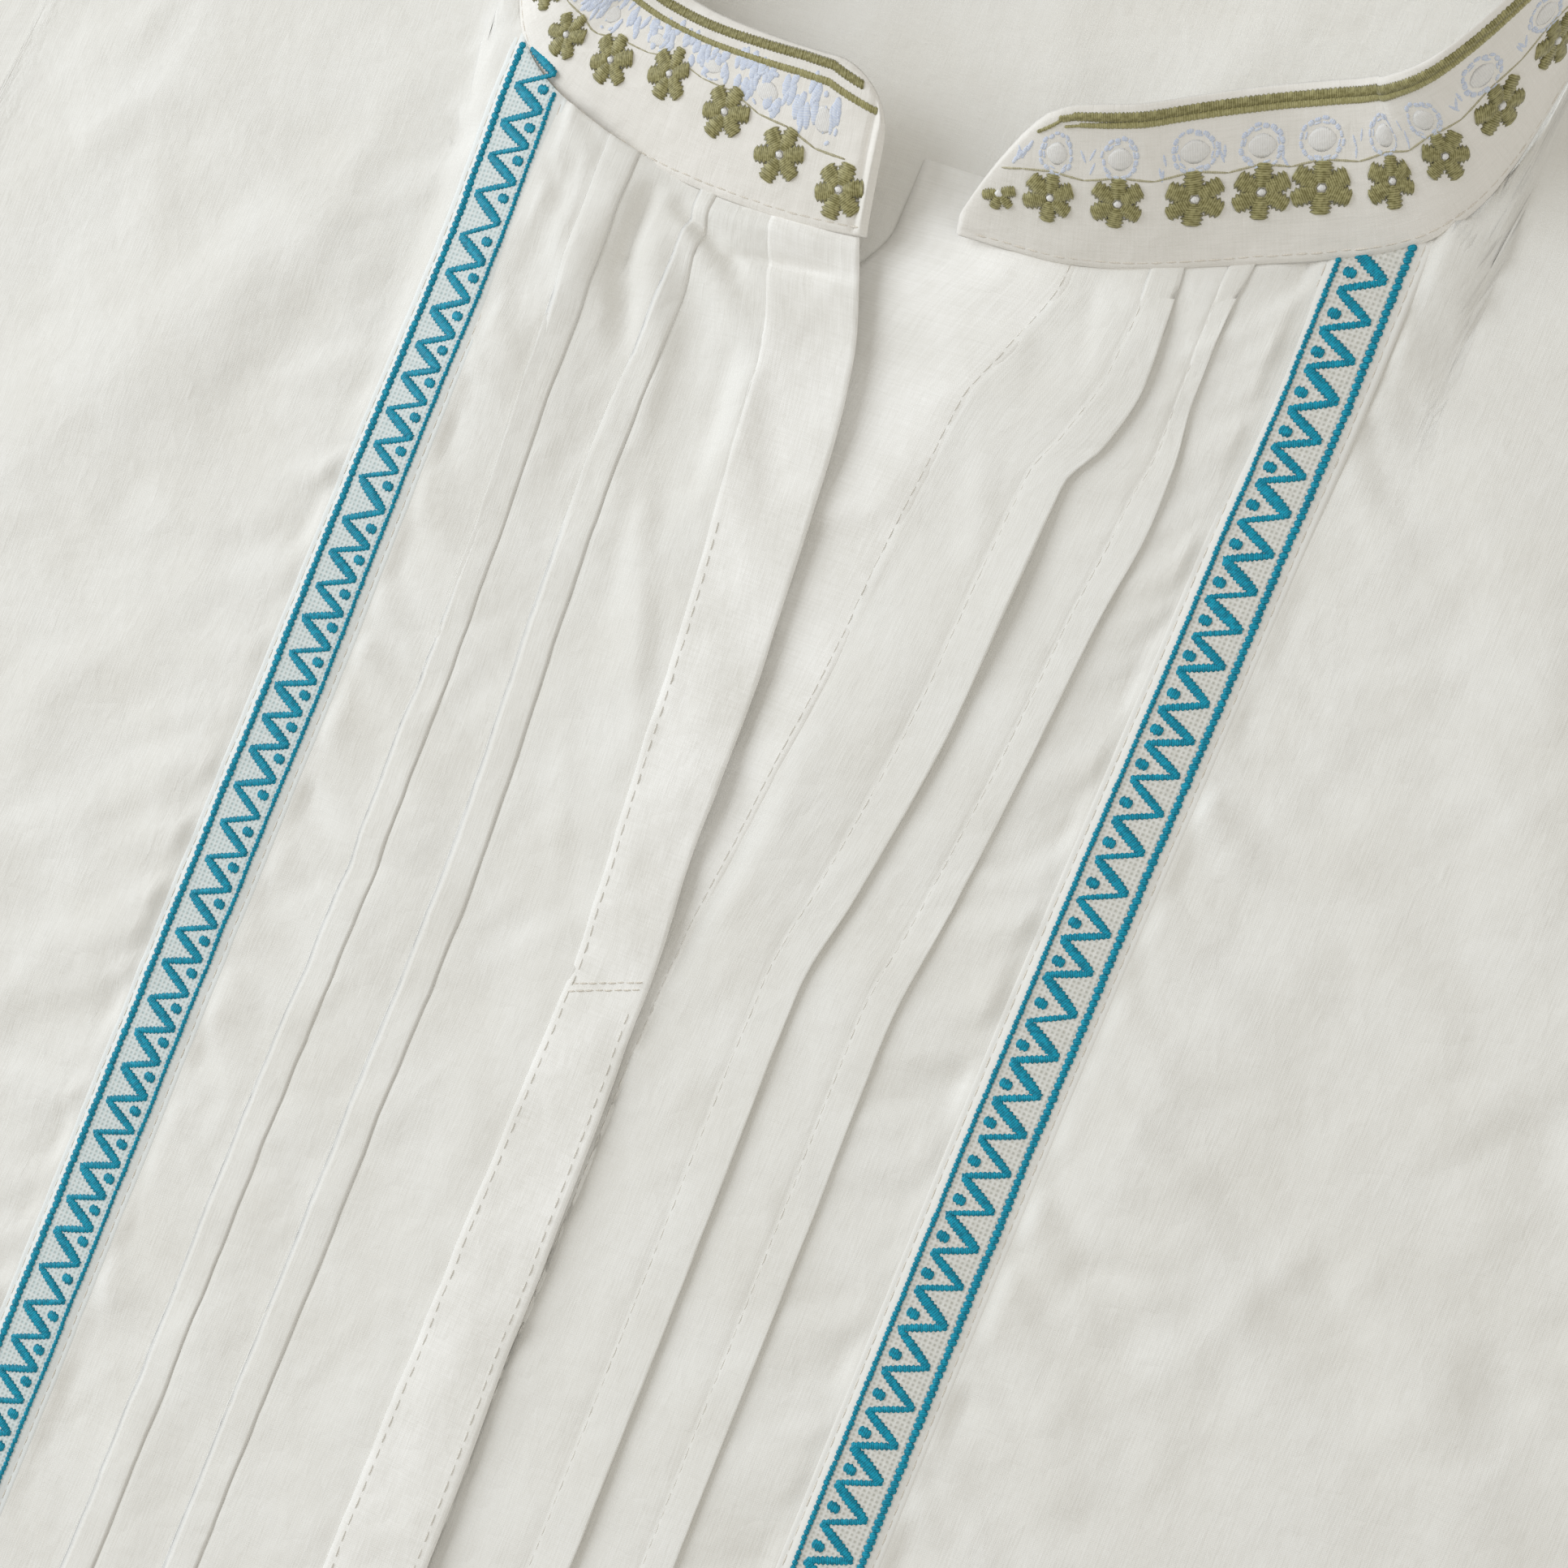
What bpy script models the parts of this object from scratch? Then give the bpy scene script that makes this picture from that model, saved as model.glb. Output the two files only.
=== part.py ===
"""Embroidered folk blouse, laid flat with its front up.

The blouse lies on its back panel. +X runs to the viewer's right across the
sleeves, +Y runs from the hem up to the collar and +Z is up. Left and right
below are the viewer's left and right. All sizes are in millimetres until they
are written to the meshes. The centre front is x = 0, and y = 0 lies 20 mm below
the left collar end; every piece is moved at the very end so that the origin is
at the middle of the footprint, on the surface that the blouse lies on.
"""
import bpy
import math

MM = 0.001

# ---- driving sizes (mm) -----------------------------------------------------
CLOTH = 1.2             # wall of the body cloth, plackets and sleeves
COLLAR_WALL = 1.5       # the collar band is two layers
TRIM_WALL = 1.0         # woven trim, laid on the fronts
GAP = 0.3               # clearance at every seam

HEM_Y = -560.0          # hem line
NECK_SIDE_X = 102.5     # half width of the neck opening
NECK_SIDE_Y = 104.0     # where the neck seam meets the shoulder seam
TIP_X, TIP_Y = 200.0, 66.0          # shoulder tip
ARMPIT_X, ARMPIT_Y = 258.0, -135.0  # underarm point
HEM_HALF = 275.0        # half width at the hem
GRID_Y = -150.0         # below this line the cross rows are level

PLACKET_EDGE = 6.6      # right edge of the top placket strip
PLACKET_SEAM = 8.9      # left edge of it, and of the strip underneath
UNDER_SEAM = 8.6        # right edge of the under strip
SLIT_END_Y = -127.0     # the slit is sewn shut below this line
PLACKET_END = 10.4      # the open strips end at these distances from the
UNDER_END = 6.9         # centre on the neck seam

COLLAR_H = 31.0         # height of the collar band
COLLAR_ROUND = 14.0     # radius of its front corners

TRIM_HALF = 9.0         # half width of a trim band with its plain margins

SLEEVE_ROUND = 5.6      # height of the sleeve where it lies
SLEEVE_GAP = 1.0        # sideways room at the slanting armhole seam

BACK_LOW = 0.0
UNDER_LOW = BACK_LOW + CLOTH + 0.4          # under strip on the back panel
FRONT_LOW = BACK_LOW + CLOTH + GAP          # fronts on the back panel
TOP_LOW = UNDER_LOW + CLOTH + 0.5           # top strip on the under strip
NECK_RISE = 4.6         # the fronts lift towards the collar seam
NECK_REACH = 34.0       # over this distance
SIDE_LIFT = 2.2         # the collar lifts the shoulder seam at the neck


def table(columns, *rows):
    names = columns.split()
    return [dict(zip(names, row)) for row in rows]


# ---- tables -----------------------------------------------------------------
# Neck seam of the fronts, in laid position.
NECK_LEFT = table("x y",
                  (-102.5, 104.0), (-102.2, 84.0), (-101.0, 65.0),
                  (-98.2, 50.0), (-93.5, 39.0), (-86.0, 31.2), (-76.0, 26.0),
                  (-60.0, 21.5), (-44.6, 19.6), (-25.0, 19.2), (-9.2, 20.7))
NECK_RIGHT = table("x y",
                   (7.6, 26.3), (20.0, 26.6), (29.0, 27.3), (42.3, 30.4),
                   (56.0, 35.6), (73.5, 42.6), (84.0, 47.5), (92.0, 54.0),
                   (98.0, 65.0), (101.5, 82.0), (102.5, 104.0))
# Neck seam of the back, centre to side.
NECK_BACK = table("x y",
                  (0.0, 93.0), (40.0, 94.5), (68.0, 98.0), (88.0, 103.0),
                  (97.0, 105.0), (102.5, 104.0))
# Armhole seam, shoulder tip to underarm.
ARMHOLE = table("x y",
                (200.0, 66.0), (202.0, 30.0), (206.0, -10.0), (213.0, -52.0),
                (225.0, -92.0), (240.0, -118.0), (258.0, -135.0))
# Laid sleeve: its fold from the shoulder tip and its fold from the underarm.
SLEEVE_SET = table("share top_x top_y under_x under_y",
                   (0.00, TIP_X, TIP_Y, ARMPIT_X, ARMPIT_Y),
                   (0.10, 262.0, 47.0, 276.0, -147.0),
                   (0.20, 322.0, 18.0, 299.0, -161.0),
                   (0.35, 396.0, -34.0, 336.0, -181.0),
                   (0.55, 482.0, -105.0, 394.0, -219.0),
                   (0.75, 548.0, -163.0, 467.0, -267.0),
                   (1.00, 630.0, -235.0, 558.0, -327.0))
# How far the open slit moves each lengthwise line of the left front.
SHIFT_LEFT = table("y edge seam fold_b fold_a band",
                   (-240.0, 2.2, -0.9, 0.3, 0.2, 0.0),
                   (-180.0, 1.0, -0.4, 0.2, 0.0, 0.0),
                   (-130.0, 0.0, 0.0, 0.0, 0.6, 0.0),
                   (-106.0, -1.6, -1.8, -0.8, -0.1, 0.0),
                   (-84.0, -2.7, -3.5, -2.3, -0.3, 0.0),
                   (-67.0, -3.2, -5.0, -3.5, -0.6, 0.1),
                   (-36.0, -5.2, -8.4, -4.4, -2.0, 0.5),
                   (-4.0, -8.8, -11.9, -3.2, -3.0, 1.5),
                   (14.0, -14.2, -18.0, -2.4, -3.1, 1.7),
                   (21.0, -17.0, -19.6, -2.2, -3.1, 1.8))
SHIFT_LEFT_AT = {"edge": 6.6, "seam": -8.9, "fold_b": -42.0, "fold_a": -62.0,
                 "band": -87.0}
# The same for the right front. under is the free edge of the under strip.
SHIFT_RIGHT = table("y under seam fold_1 fold_2 band",
                    (-240.0, 0.0, 0.0, 0.3, 0.2, 0.0),
                    (-160.0, 0.0, 0.0, -0.4, -0.3, 0.0),
                    (-118.0, 0.2, 0.6, -1.8, -1.2, 0.2),
                    (-95.0, 0.8, 3.4, 3.4, 2.0, 0.5),
                    (-60.0, 1.6, 7.2, 7.5, 5.2, 1.2),
                    (-33.0, 2.6, 9.0, 8.7, 7.2, 1.7),
                    (-11.0, 4.4, 11.4, 9.8, 9.7, 2.0),
                    (-2.0, 5.4, 12.6, 14.4, 9.7, 2.2),
                    (11.0, 8.6, 18.2, 17.4, 8.4, 2.6),
                    (26.0, 15.8, 22.8, 16.8, 8.6, 2.9),
                    (40.0, 16.0, 23.0, 15.2, 9.8, 3.0))
SHIFT_RIGHT_AT = {"under": -8.9, "seam": 8.6, "fold_1": 34.2, "fold_2": 52.4,
                  "band": 78.8}
# Pressed tucks: stitched line, free folded edge, height of that edge.
TUCKS_LEFT = table("name stitch fold rise",
                   ("fold_b", -34.8, -42.0, 1.5),
                   ("fold_a", -55.3, -62.0, 1.3))
TUCKS_RIGHT = table("name stitch fold rise",
                    ("fold_1", 26.0, 34.2, 2.6),
                    ("fold_2", 46.2, 52.4, 2.3))
TUCK_DROP = 1.1         # plan length of the step below a folded edge
# Largest folds of the laid fronts: a soft ridge or trough from one point to
# the next, its half width and its rise.
FOLDS = table("name x0 y0 x1 y1 half rise",
              ("pucker_a", -53.0, 17.0, -47.5, -12.0, 3.4, -2.6),
              ("pucker_b", -41.0, 4.0, -20.0, -26.0, 6.5, -2.2),
              ("slope_left", -112.0, 30.0, -120.0, -60.0, 13.0, -0.9),
              ("slack_left", -33.0, -40.0, -14.0, -84.0, 7.0, 1.6),
              ("slit_ridge", 15.0, -120.0, 27.0, -40.0, 9.5, 3.2),
              ("slit_top", 38.0, -8.0, 44.0, 24.0, 8.0, 1.6),
              ("panel_diagonal", 98.0, -118.0, 150.0, -158.0, 11.0, 2.2),
              ("panel_right", 120.0, 10.0, 165.0, -70.0, 14.0, 2.4),
              ("panel_left", -120.0, -10.0, -170.0, -80.0, 15.0, 2.6),
              ("underarm_right", 232.0, -150.0, 150.0, -250.0, 16.0, 3.2),
              ("underarm_left", -232.0, -150.0, -155.0, -262.0, 17.0, 3.4),
              ("skirt_right", 150.0, -330.0, 172.0, -555.0, 19.0, 3.2),
              ("skirt_left", -138.0, -360.0, -160.0, -555.0, 20.0, 3.4),
              ("skirt_side", 226.0, -300.0, 236.0, -540.0, 15.0, 2.2),
              ("skirt_far", -222.0, -300.0, -236.0, -540.0, 14.0, 2.4))
# Lengthwise lines of the fronts, as base distances from the centre front.
LINES_LEFT = (8.9, 20.0, 34.8, 38.6, 42.0, 43.1, 48.0, 55.3, 59.0, 62.0, 63.1,
              70.0, 78.0, 87.0, 96.0, 99.6, 101.6, 102.5)
LINES_RIGHT = (8.6, 16.0, 26.0, 30.5, 34.2, 35.3, 40.0, 46.2, 49.5, 52.4, 53.5,
               61.0, 69.8, 78.8, 87.8, 94.0, 99.0, 101.6, 102.5)
LINES_SHOULDER = (120.0, 146.0, 174.0)
ROWS_BELOW = (-560.0, -490.0, -420.0, -350.0, -285.0, -230.0, -185.0, -150.0)
ROWS_ABOVE = 15         # rows between GRID_Y and the neck, shoulder or armhole
TRIM_LINES_LEFT = (78.0, 87.0, 96.0)
TRIM_LINES_RIGHT = (69.8, 78.8, 87.8)
# Collar band, round the neck: share of the seam, lean from level, seam height,
# and how far its lower edge stands inside the edges of the panels.
COLLAR_SET = table("share lean height inset",
                   (0.00, 17.0, 6.9, 0.6), (0.13, 18.0, 6.9, 0.6),
                   (0.18, 32.0, 6.9, 0.9), (0.225, 58.0, 6.8, 1.15),
                   (0.265, 76.0, 6.6, 1.2), (0.305, 98.0, 6.6, 0.7),
                   (0.345, 130.0, 4.6, -0.5), (0.43, 144.0, 1.7, -0.7),
                   (0.50, 146.0, 1.4, -0.7), (0.57, 144.0, 1.7, -0.7),
                   (0.655, 130.0, 4.6, -0.5), (0.695, 98.0, 6.6, 0.7),
                   (0.735, 76.0, 6.6, 1.2), (0.775, 60.0, 6.8, 1.15),
                   (0.82, 40.0, 6.9, 0.95), (0.87, 33.0, 6.9, 0.9),
                   (0.93, 44.0, 6.9, 1.0), (1.00, 48.0, 6.9, 1.05))


# ---- helpers ----------------------------------------------------------------
def smooth(a, b, value):
    t = min(1.0, max(0.0, (value - a) / (b - a)))
    return t * t * (3.0 - 2.0 * t)


def read(rows, key, value, column):
    """Smooth monotone curve through one column of a table."""
    pts = sorted((r[key], r[column]) for r in rows)
    if value <= pts[0][0]:
        return pts[0][1]
    if value >= pts[-1][0]:
        return pts[-1][1]
    xs = [p[0] for p in pts]
    ys = [p[1] for p in pts]
    n = len(xs)
    step = [xs[i + 1] - xs[i] for i in range(n - 1)]
    rate = [(ys[i + 1] - ys[i]) / step[i] for i in range(n - 1)]
    slope = [rate[0]] + [0.0] * (n - 2) + [rate[-1]]
    for i in range(1, n - 1):
        if rate[i - 1] * rate[i] > 0.0:
            w1 = 2.0 * step[i] + step[i - 1]
            w2 = step[i] + 2.0 * step[i - 1]
            slope[i] = (w1 + w2) / (w1 / rate[i - 1] + w2 / rate[i])
    i = max(k for k in range(n - 1) if xs[k] <= value)
    t = (value - xs[i]) / step[i]
    return ((2 * t**3 - 3 * t**2 + 1) * ys[i]
            + (t**3 - 2 * t**2 + t) * step[i] * slope[i]
            + (-2 * t**3 + 3 * t**2) * ys[i + 1]
            + (t**3 - t**2) * step[i] * slope[i + 1])


def neck_y(side, x):
    rows = NECK_LEFT if side < 0 else NECK_RIGHT
    return read(rows, "x", x, "y")


def shoulder_y(x):
    t = (abs(x) - NECK_SIDE_X) / (TIP_X - NECK_SIDE_X)
    return NECK_SIDE_Y + t * (TIP_Y - NECK_SIDE_Y) + 3.0 * t * (1.0 - t)


def laid_shift(side, u, y):
    """Sideways move of the lengthwise line u at the height y."""
    rows = SHIFT_LEFT if side < 0 else SHIFT_RIGHT
    at = SHIFT_LEFT_AT if side < 0 else SHIFT_RIGHT_AT
    stations = sorted((abs(at[k]) if abs(at[k]) > 9.0 else side * at[k], k)
                      for k in at)
    reach = side * u
    values = [(s, read(rows, "y", y, k)) for s, k in stations]
    values.append((NECK_SIDE_X, 0.0))
    if reach <= values[0][0]:
        return values[0][1]
    for (s0, v0), (s1, v1) in zip(values, values[1:]):
        if reach <= s1:
            return v0 + (v1 - v0) * (reach - s0) / (s1 - s0)
    return 0.0


def top_of_line(side, u):
    """y at which a lengthwise line meets the neck seam."""
    y = neck_y(side, u)
    for _ in range(12):
        x = u + laid_shift(side, u, y)
        y = 0.5 * y + 0.5 * neck_y(side, x - side * 2.0 * GAP)
    return y - GAP


def back_lift(x, y):
    near = math.exp(-((abs(x) - NECK_SIDE_X) / 26.0) ** 2)
    return SIDE_LIFT * near * smooth(70.0, 104.0, y)


def fold_relief(x, y):
    total = 0.0
    for f in FOLDS:
        dx, dy = f["x1"] - f["x0"], f["y1"] - f["y0"]
        length2 = dx * dx + dy * dy
        t = ((x - f["x0"]) * dx + (y - f["y0"]) * dy) / length2
        along = min(1.0, max(0.0, t))
        px, py = f["x0"] + along * dx, f["y0"] + along * dy
        across = math.hypot(x - px, y - py) / f["half"]
        if across < 2.6:
            body = math.exp(-across * across)
            taper = 0.35 + 0.65 * math.sin(math.pi * (0.1 + 0.8 * along))
            total += f["rise"] * body * taper
    return total


def tuck_relief(side, u):
    tucks = TUCKS_LEFT if side < 0 else TUCKS_RIGHT
    reach = side * u
    for t in tucks:
        a, b = side * t["stitch"], side * t["fold"]
        if a <= reach <= b:
            return t["rise"] * ((reach - a) / (b - a)) ** 0.8
        if b < reach < b + TUCK_DROP:
            return t["rise"] * (1.0 - (reach - b) / TUCK_DROP)
    return 0.0


def front_low(side, u, x, y, top):
    """Height of the lower face of a front above the surface it lies on."""
    inner = (1.0 - smooth(100.0, 155.0, abs(x))) * (1.0 - smooth(62.0, 98.0, y))
    rise = NECK_RISE * inner * math.exp(-((top - y) / NECK_REACH) ** 2)
    centre = 0.0
    if side < 0:
        centre = (TOP_LOW - FRONT_LOW) * (1.0 - smooth(8.0, 34.0, abs(u)))
    base = FRONT_LOW + 0.25 + back_lift(x, y) * 1.1 + max(rise, centre)
    wave = fold_relief(x, y) + tuck_relief(side, u)
    floor = FRONT_LOW + back_lift(x, y) * 1.1
    side_seam = smooth(0.0, 22.0, (HEM_HALF - 14.0) - abs(x))
    return max(floor, base + wave * max(side_seam, 0.15))


# ---- meshes -----------------------------------------------------------------
PIECES = []


def add_piece(name, verts, faces, colour, roughness):
    mesh = bpy.data.meshes.new(name)
    mesh.from_pydata([(x * MM, y * MM, z * MM) for x, y, z in verts], [], faces)
    mesh.validate()
    mesh.update()
    obj = bpy.data.objects.new(name, mesh)
    bpy.context.scene.collection.objects.link(obj)
    mat = bpy.data.materials.new(name + "_cloth")
    mat.use_nodes = True
    shader = mat.node_tree.nodes["Principled BSDF"]
    shader.inputs["Base Color"].default_value = (*colour, 1.0)
    shader.inputs["Roughness"].default_value = roughness
    shader.inputs["Metallic"].default_value = 0.0
    mat.diffuse_color = (*colour, 1.0)
    mesh.materials.append(mat)
    PIECES.append(obj)
    return obj


def grid_wall(low, high):
    """Closed wall between two equal grids [column][row] of points."""
    nc, nr = len(low), len(low[0])
    verts = [p for col in low for p in col] + [p for col in high for p in col]
    base = nc * nr

    def idx(c, r, up):
        return c * nr + r + (base if up else 0)

    faces = []
    for c in range(nc - 1):
        for r in range(nr - 1):
            a, b = idx(c, r, 1), idx(c + 1, r, 1)
            d, e = idx(c + 1, r + 1, 1), idx(c, r + 1, 1)
            faces += [(a, b, d), (a, d, e)]
            a, b = idx(c, r, 0), idx(c + 1, r, 0)
            d, e = idx(c + 1, r + 1, 0), idx(c, r + 1, 0)
            faces += [(a, d, b), (a, e, d)]
    rim = ([(c, 0) for c in range(nc)]
           + [(nc - 1, r) for r in range(1, nr)]
           + [(c, nr - 1) for c in range(nc - 2, -1, -1)]
           + [(0, r) for r in range(nr - 2, 0, -1)])
    for (c0, r0), (c1, r1) in zip(rim, rim[1:] + rim[:1]):
        a, b = idx(c0, r0, 0), idx(c1, r1, 0)
        d, e = idx(c1, r1, 1), idx(c0, r0, 1)
        faces += [(a, b, d), (a, d, e)]
    return verts, faces


def upright(grid):
    """Turn the grid over when its columns run right to left."""
    a, b, c = grid[0][0], grid[-1][0], grid[0][-1]
    turn = (b[0] - a[0]) * (c[1] - a[1]) - (b[1] - a[1]) * (c[0] - a[0])
    return grid if turn > 0 else grid[::-1]


def lift(grid, amount):
    return [[(x, y, z + amount) for x, y, z in col] for col in grid]


def front_columns(side, lines):
    """Lower face of a front along its lengthwise lines, hem to top."""
    grid = []
    for reach in lines:
        u = side * reach
        top = top_of_line(side, u)
        grid.append(column(side, u, None, top))
    return grid


def column(side, u, outer, top):
    """outer is (x at the top) for a line that ends on shoulder or armhole."""
    rows = list(ROWS_BELOW)
    rows += [GRID_Y + (top - GRID_Y) * k / ROWS_ABOVE
             for k in range(1, ROWS_ABOVE + 1)]
    col = []
    for y in rows:
        if outer is None:
            x = u + laid_shift(side, u, y)
        else:
            flare = (HEM_HALF - ARMPIT_X) * ((abs(outer) - NECK_SIDE_X)
                                             / (ARMPIT_X - NECK_SIDE_X))
            t = (top - y) / (top - HEM_Y)
            x = outer + side * flare * t
        col.append((x, y, front_low(side, u, x, y, top)))
    return col


def outer_tops(side):
    """Top points of the lines beyond the neck: shoulder, then armhole."""
    tops = [(side * x, shoulder_y(x) - GAP) for x in LINES_SHOULDER]
    tops.append((side * (TIP_X - GAP), TIP_Y - GAP))
    for row in ARMHOLE[1:]:
        tops.append((side * (row["x"] - GAP), row["y"] - GAP))
    return tops


def front_grid(side):
    grid = front_columns(side, LINES_LEFT if side < 0 else LINES_RIGHT)
    for x, y in outer_tops(side):
        grid.append(column(side, x, x, y))
    return upright(grid)


def build_fronts():
    for side, name in ((-1, "front_left"), (1, "front_right")):
        low = front_grid(side)
        add_piece(name, *grid_wall(low, lift(low, CLOTH)),
                  (0.80, 0.78, 0.73), 0.85)


def build_trims():
    for side, name, lines in ((-1, "trim_left", TRIM_LINES_LEFT),
                              (1, "trim_right", TRIM_LINES_RIGHT)):
        low = upright(front_columns(side, lines))
        low = lift(low, CLOTH + GAP)
        add_piece(name, *grid_wall(low, lift(low, TRIM_WALL)),
                  (0.45, 0.56, 0.55), 0.8)


def build_back():
    """Back panel, flat, lifted only a little beside the neck."""
    reaches = (0.0, 22.0, 44.0, 66.0, 82.0, 92.0, 98.0, 102.5)
    half = [(x, read(NECK_BACK, "x", x, "y") - GAP) for x in reaches]
    half += [(abs(x), y) for x, y in outer_tops(1)]
    rows_low = (-560.0, -460.0, -360.0, -260.0, -150.0)
    upper = (0.45, 0.72, 0.86, 0.94, 1.0)
    grid = []
    for x, top in [(-x, y) for x, y in half[:0:-1]] + half:
        flare = max(0.0, (abs(x) - NECK_SIDE_X) / (ARMPIT_X - NECK_SIDE_X))
        flare *= HEM_HALF - ARMPIT_X
        ys = list(rows_low) + [GRID_Y + (top - GRID_Y) * f for f in upper]
        col = []
        for y in ys:
            px = x + math.copysign(flare, x) * (top - y) / (top - HEM_Y)
            col.append((px, y, BACK_LOW + back_lift(px, y)))
        grid.append(col)
    add_piece("back", *grid_wall(grid, lift(grid, CLOTH)),
              (0.78, 0.76, 0.71), 0.85)


def strip_rows(top):
    rows = list(ROWS_BELOW)
    return rows + [GRID_Y + (top - GRID_Y) * k / ROWS_ABOVE
                   for k in range(1, ROWS_ABOVE + 1)]


def build_placket_top():
    """Folded strip down the centre, sewn to the left front."""
    grid = []
    seam_top = top_of_line(-1, -PLACKET_SEAM)
    edge_top = neck_y(-1, -PLACKET_END) - GAP
    count = 3
    for k in range(count + 1):
        f = k / count
        x_seam = -PLACKET_SEAM + laid_shift(-1, -PLACKET_SEAM, seam_top)
        top = neck_y(-1, x_seam + (-PLACKET_END - x_seam) * f) - GAP
        top = min(top, seam_top + (edge_top - seam_top) * f)
        col = []
        for y in strip_rows(top):
            x0 = -PLACKET_SEAM + GAP + laid_shift(-1, -PLACKET_SEAM, y)
            x1 = PLACKET_EDGE + read(SHIFT_LEFT, "y", y, "edge")
            z0 = front_low(-1, -PLACKET_SEAM, x0, y, seam_top)
            z1 = max(TOP_LOW, z0 + 0.3 * smooth(SLIT_END_Y, -60.0, y))
            col.append((x0 + (x1 - x0) * f, y, z0 + (z1 - z0) * f))
        grid.append(col)
    add_piece("placket_top", *grid_wall(grid, lift(grid, CLOTH)),
              (0.80, 0.77, 0.71), 0.85)


def build_placket_under():
    """Strip under it, sewn to the right front."""
    grid = []
    seam_top = top_of_line(1, UNDER_SEAM)
    edge_top = neck_y(1, UNDER_END) - GAP
    count = 4
    for k in range(count + 1):
        f = k / count
        x_seam = UNDER_SEAM + laid_shift(1, UNDER_SEAM, seam_top)
        top = neck_y(1, UNDER_END + (x_seam - UNDER_END) * f) - 2.0 * GAP
        top = min(top, edge_top + (seam_top - edge_top) * f)
        col = []
        for y in strip_rows(top):
            x0 = -PLACKET_SEAM + GAP + read(SHIFT_RIGHT, "y", y, "under")
            x1 = UNDER_SEAM - GAP + laid_shift(1, UNDER_SEAM, y)
            z1 = max(front_low(1, UNDER_SEAM, x1, y, seam_top), UNDER_LOW)
            shut = 1.0 - smooth(SLIT_END_Y, SLIT_END_Y + 25.0, y)
            z1 = z1 + (UNDER_LOW - z1) * shut
            near = math.exp(-((top - y) / (0.6 * NECK_REACH)) ** 2)
            z0 = UNDER_LOW + (z1 - UNDER_LOW) * near
            col.append((x0 + (x1 - x0) * f, y, z0 + (z1 - z0) * f * f))
        grid.append(col)
    add_piece("placket_under", *grid_wall(grid, lift(grid, CLOTH)),
              (0.76, 0.74, 0.67), 0.85)


# ---- collar -----------------------------------------------------------------
def seam_path():
    """Neck seam round the blouse, left collar end to right collar end."""
    left = [(r["x"], r["y"]) for r in reversed(NECK_LEFT) if r["x"] > -NECK_SIDE_X]
    right = [(r["x"], r["y"]) for r in NECK_RIGHT if r["x"] < NECK_SIDE_X]
    back = [(r["x"], r["y"]) for r in NECK_BACK if r["x"] < NECK_SIDE_X]
    corner = (NECK_SIDE_X - 0.2, 95.0)
    pts = left + [(-corner[0], corner[1])]
    pts += [(-x, y) for x, y in reversed(back)] + back[1:]
    pts += [corner] + right[::-1]
    return smooth_path(pts)


def smooth_path(pts, per=8):
    """Centripetal curve through the points, evenly resampled by length."""
    out = []
    ext = [pts[0]] + pts + [pts[-1]]
    for i in range(1, len(ext) - 2):
        p0, p1, p2, p3 = ext[i - 1], ext[i], ext[i + 1], ext[i + 2]
        for k in range(per):
            t = k / per
            out.append(tuple(
                0.5 * (2 * b + (c - a) * t + (2 * a - 5 * b + 4 * c - d) * t**2
                       + (3 * b - a - 3 * c + d) * t**3)
                for a, b, c, d in zip(p0, p1, p2, p3)))
    out.append(pts[-1])
    return out


def path_reader(path):
    marks = [0.0]
    for a, b in zip(path, path[1:]):
        marks.append(marks[-1] + math.dist(a, b))
    total = marks[-1]

    def at(s):
        s = min(total, max(0.0, s))
        i = 0
        while i < len(marks) - 2 and marks[i + 1] < s:
            i += 1
        t = (s - marks[i]) / (marks[i + 1] - marks[i])
        return tuple(a + (b - a) * t for a, b in zip(path[i], path[i + 1]))
    return at, total


def collar_height(s, total):
    """Full height, rounded off at both front corners."""
    d = min(s, total - s)
    if d >= COLLAR_ROUND:
        return COLLAR_H
    cut = COLLAR_ROUND - math.sqrt(COLLAR_ROUND**2 - (COLLAR_ROUND - d)**2)
    return COLLAR_H - cut


def collar_point(at, total, s, h):
    x, y = at(s)
    ax, ay = at(s - 1.5)
    bx, by = at(s + 1.5)
    length = math.hypot(bx - ax, by - ay)
    inward = ((by - ay) / length, -(bx - ax) / length)
    lean = math.radians(read(COLLAR_SET, "share", s / total, "lean"))
    z = read(COLLAR_SET, "share", s / total, "height")
    run, up = math.cos(lean), math.sin(lean)
    reach = run * h + read(COLLAR_SET, "share", s / total, "inset")
    return (x + inward[0] * reach, y + inward[1] * reach, z + up * h)


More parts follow.
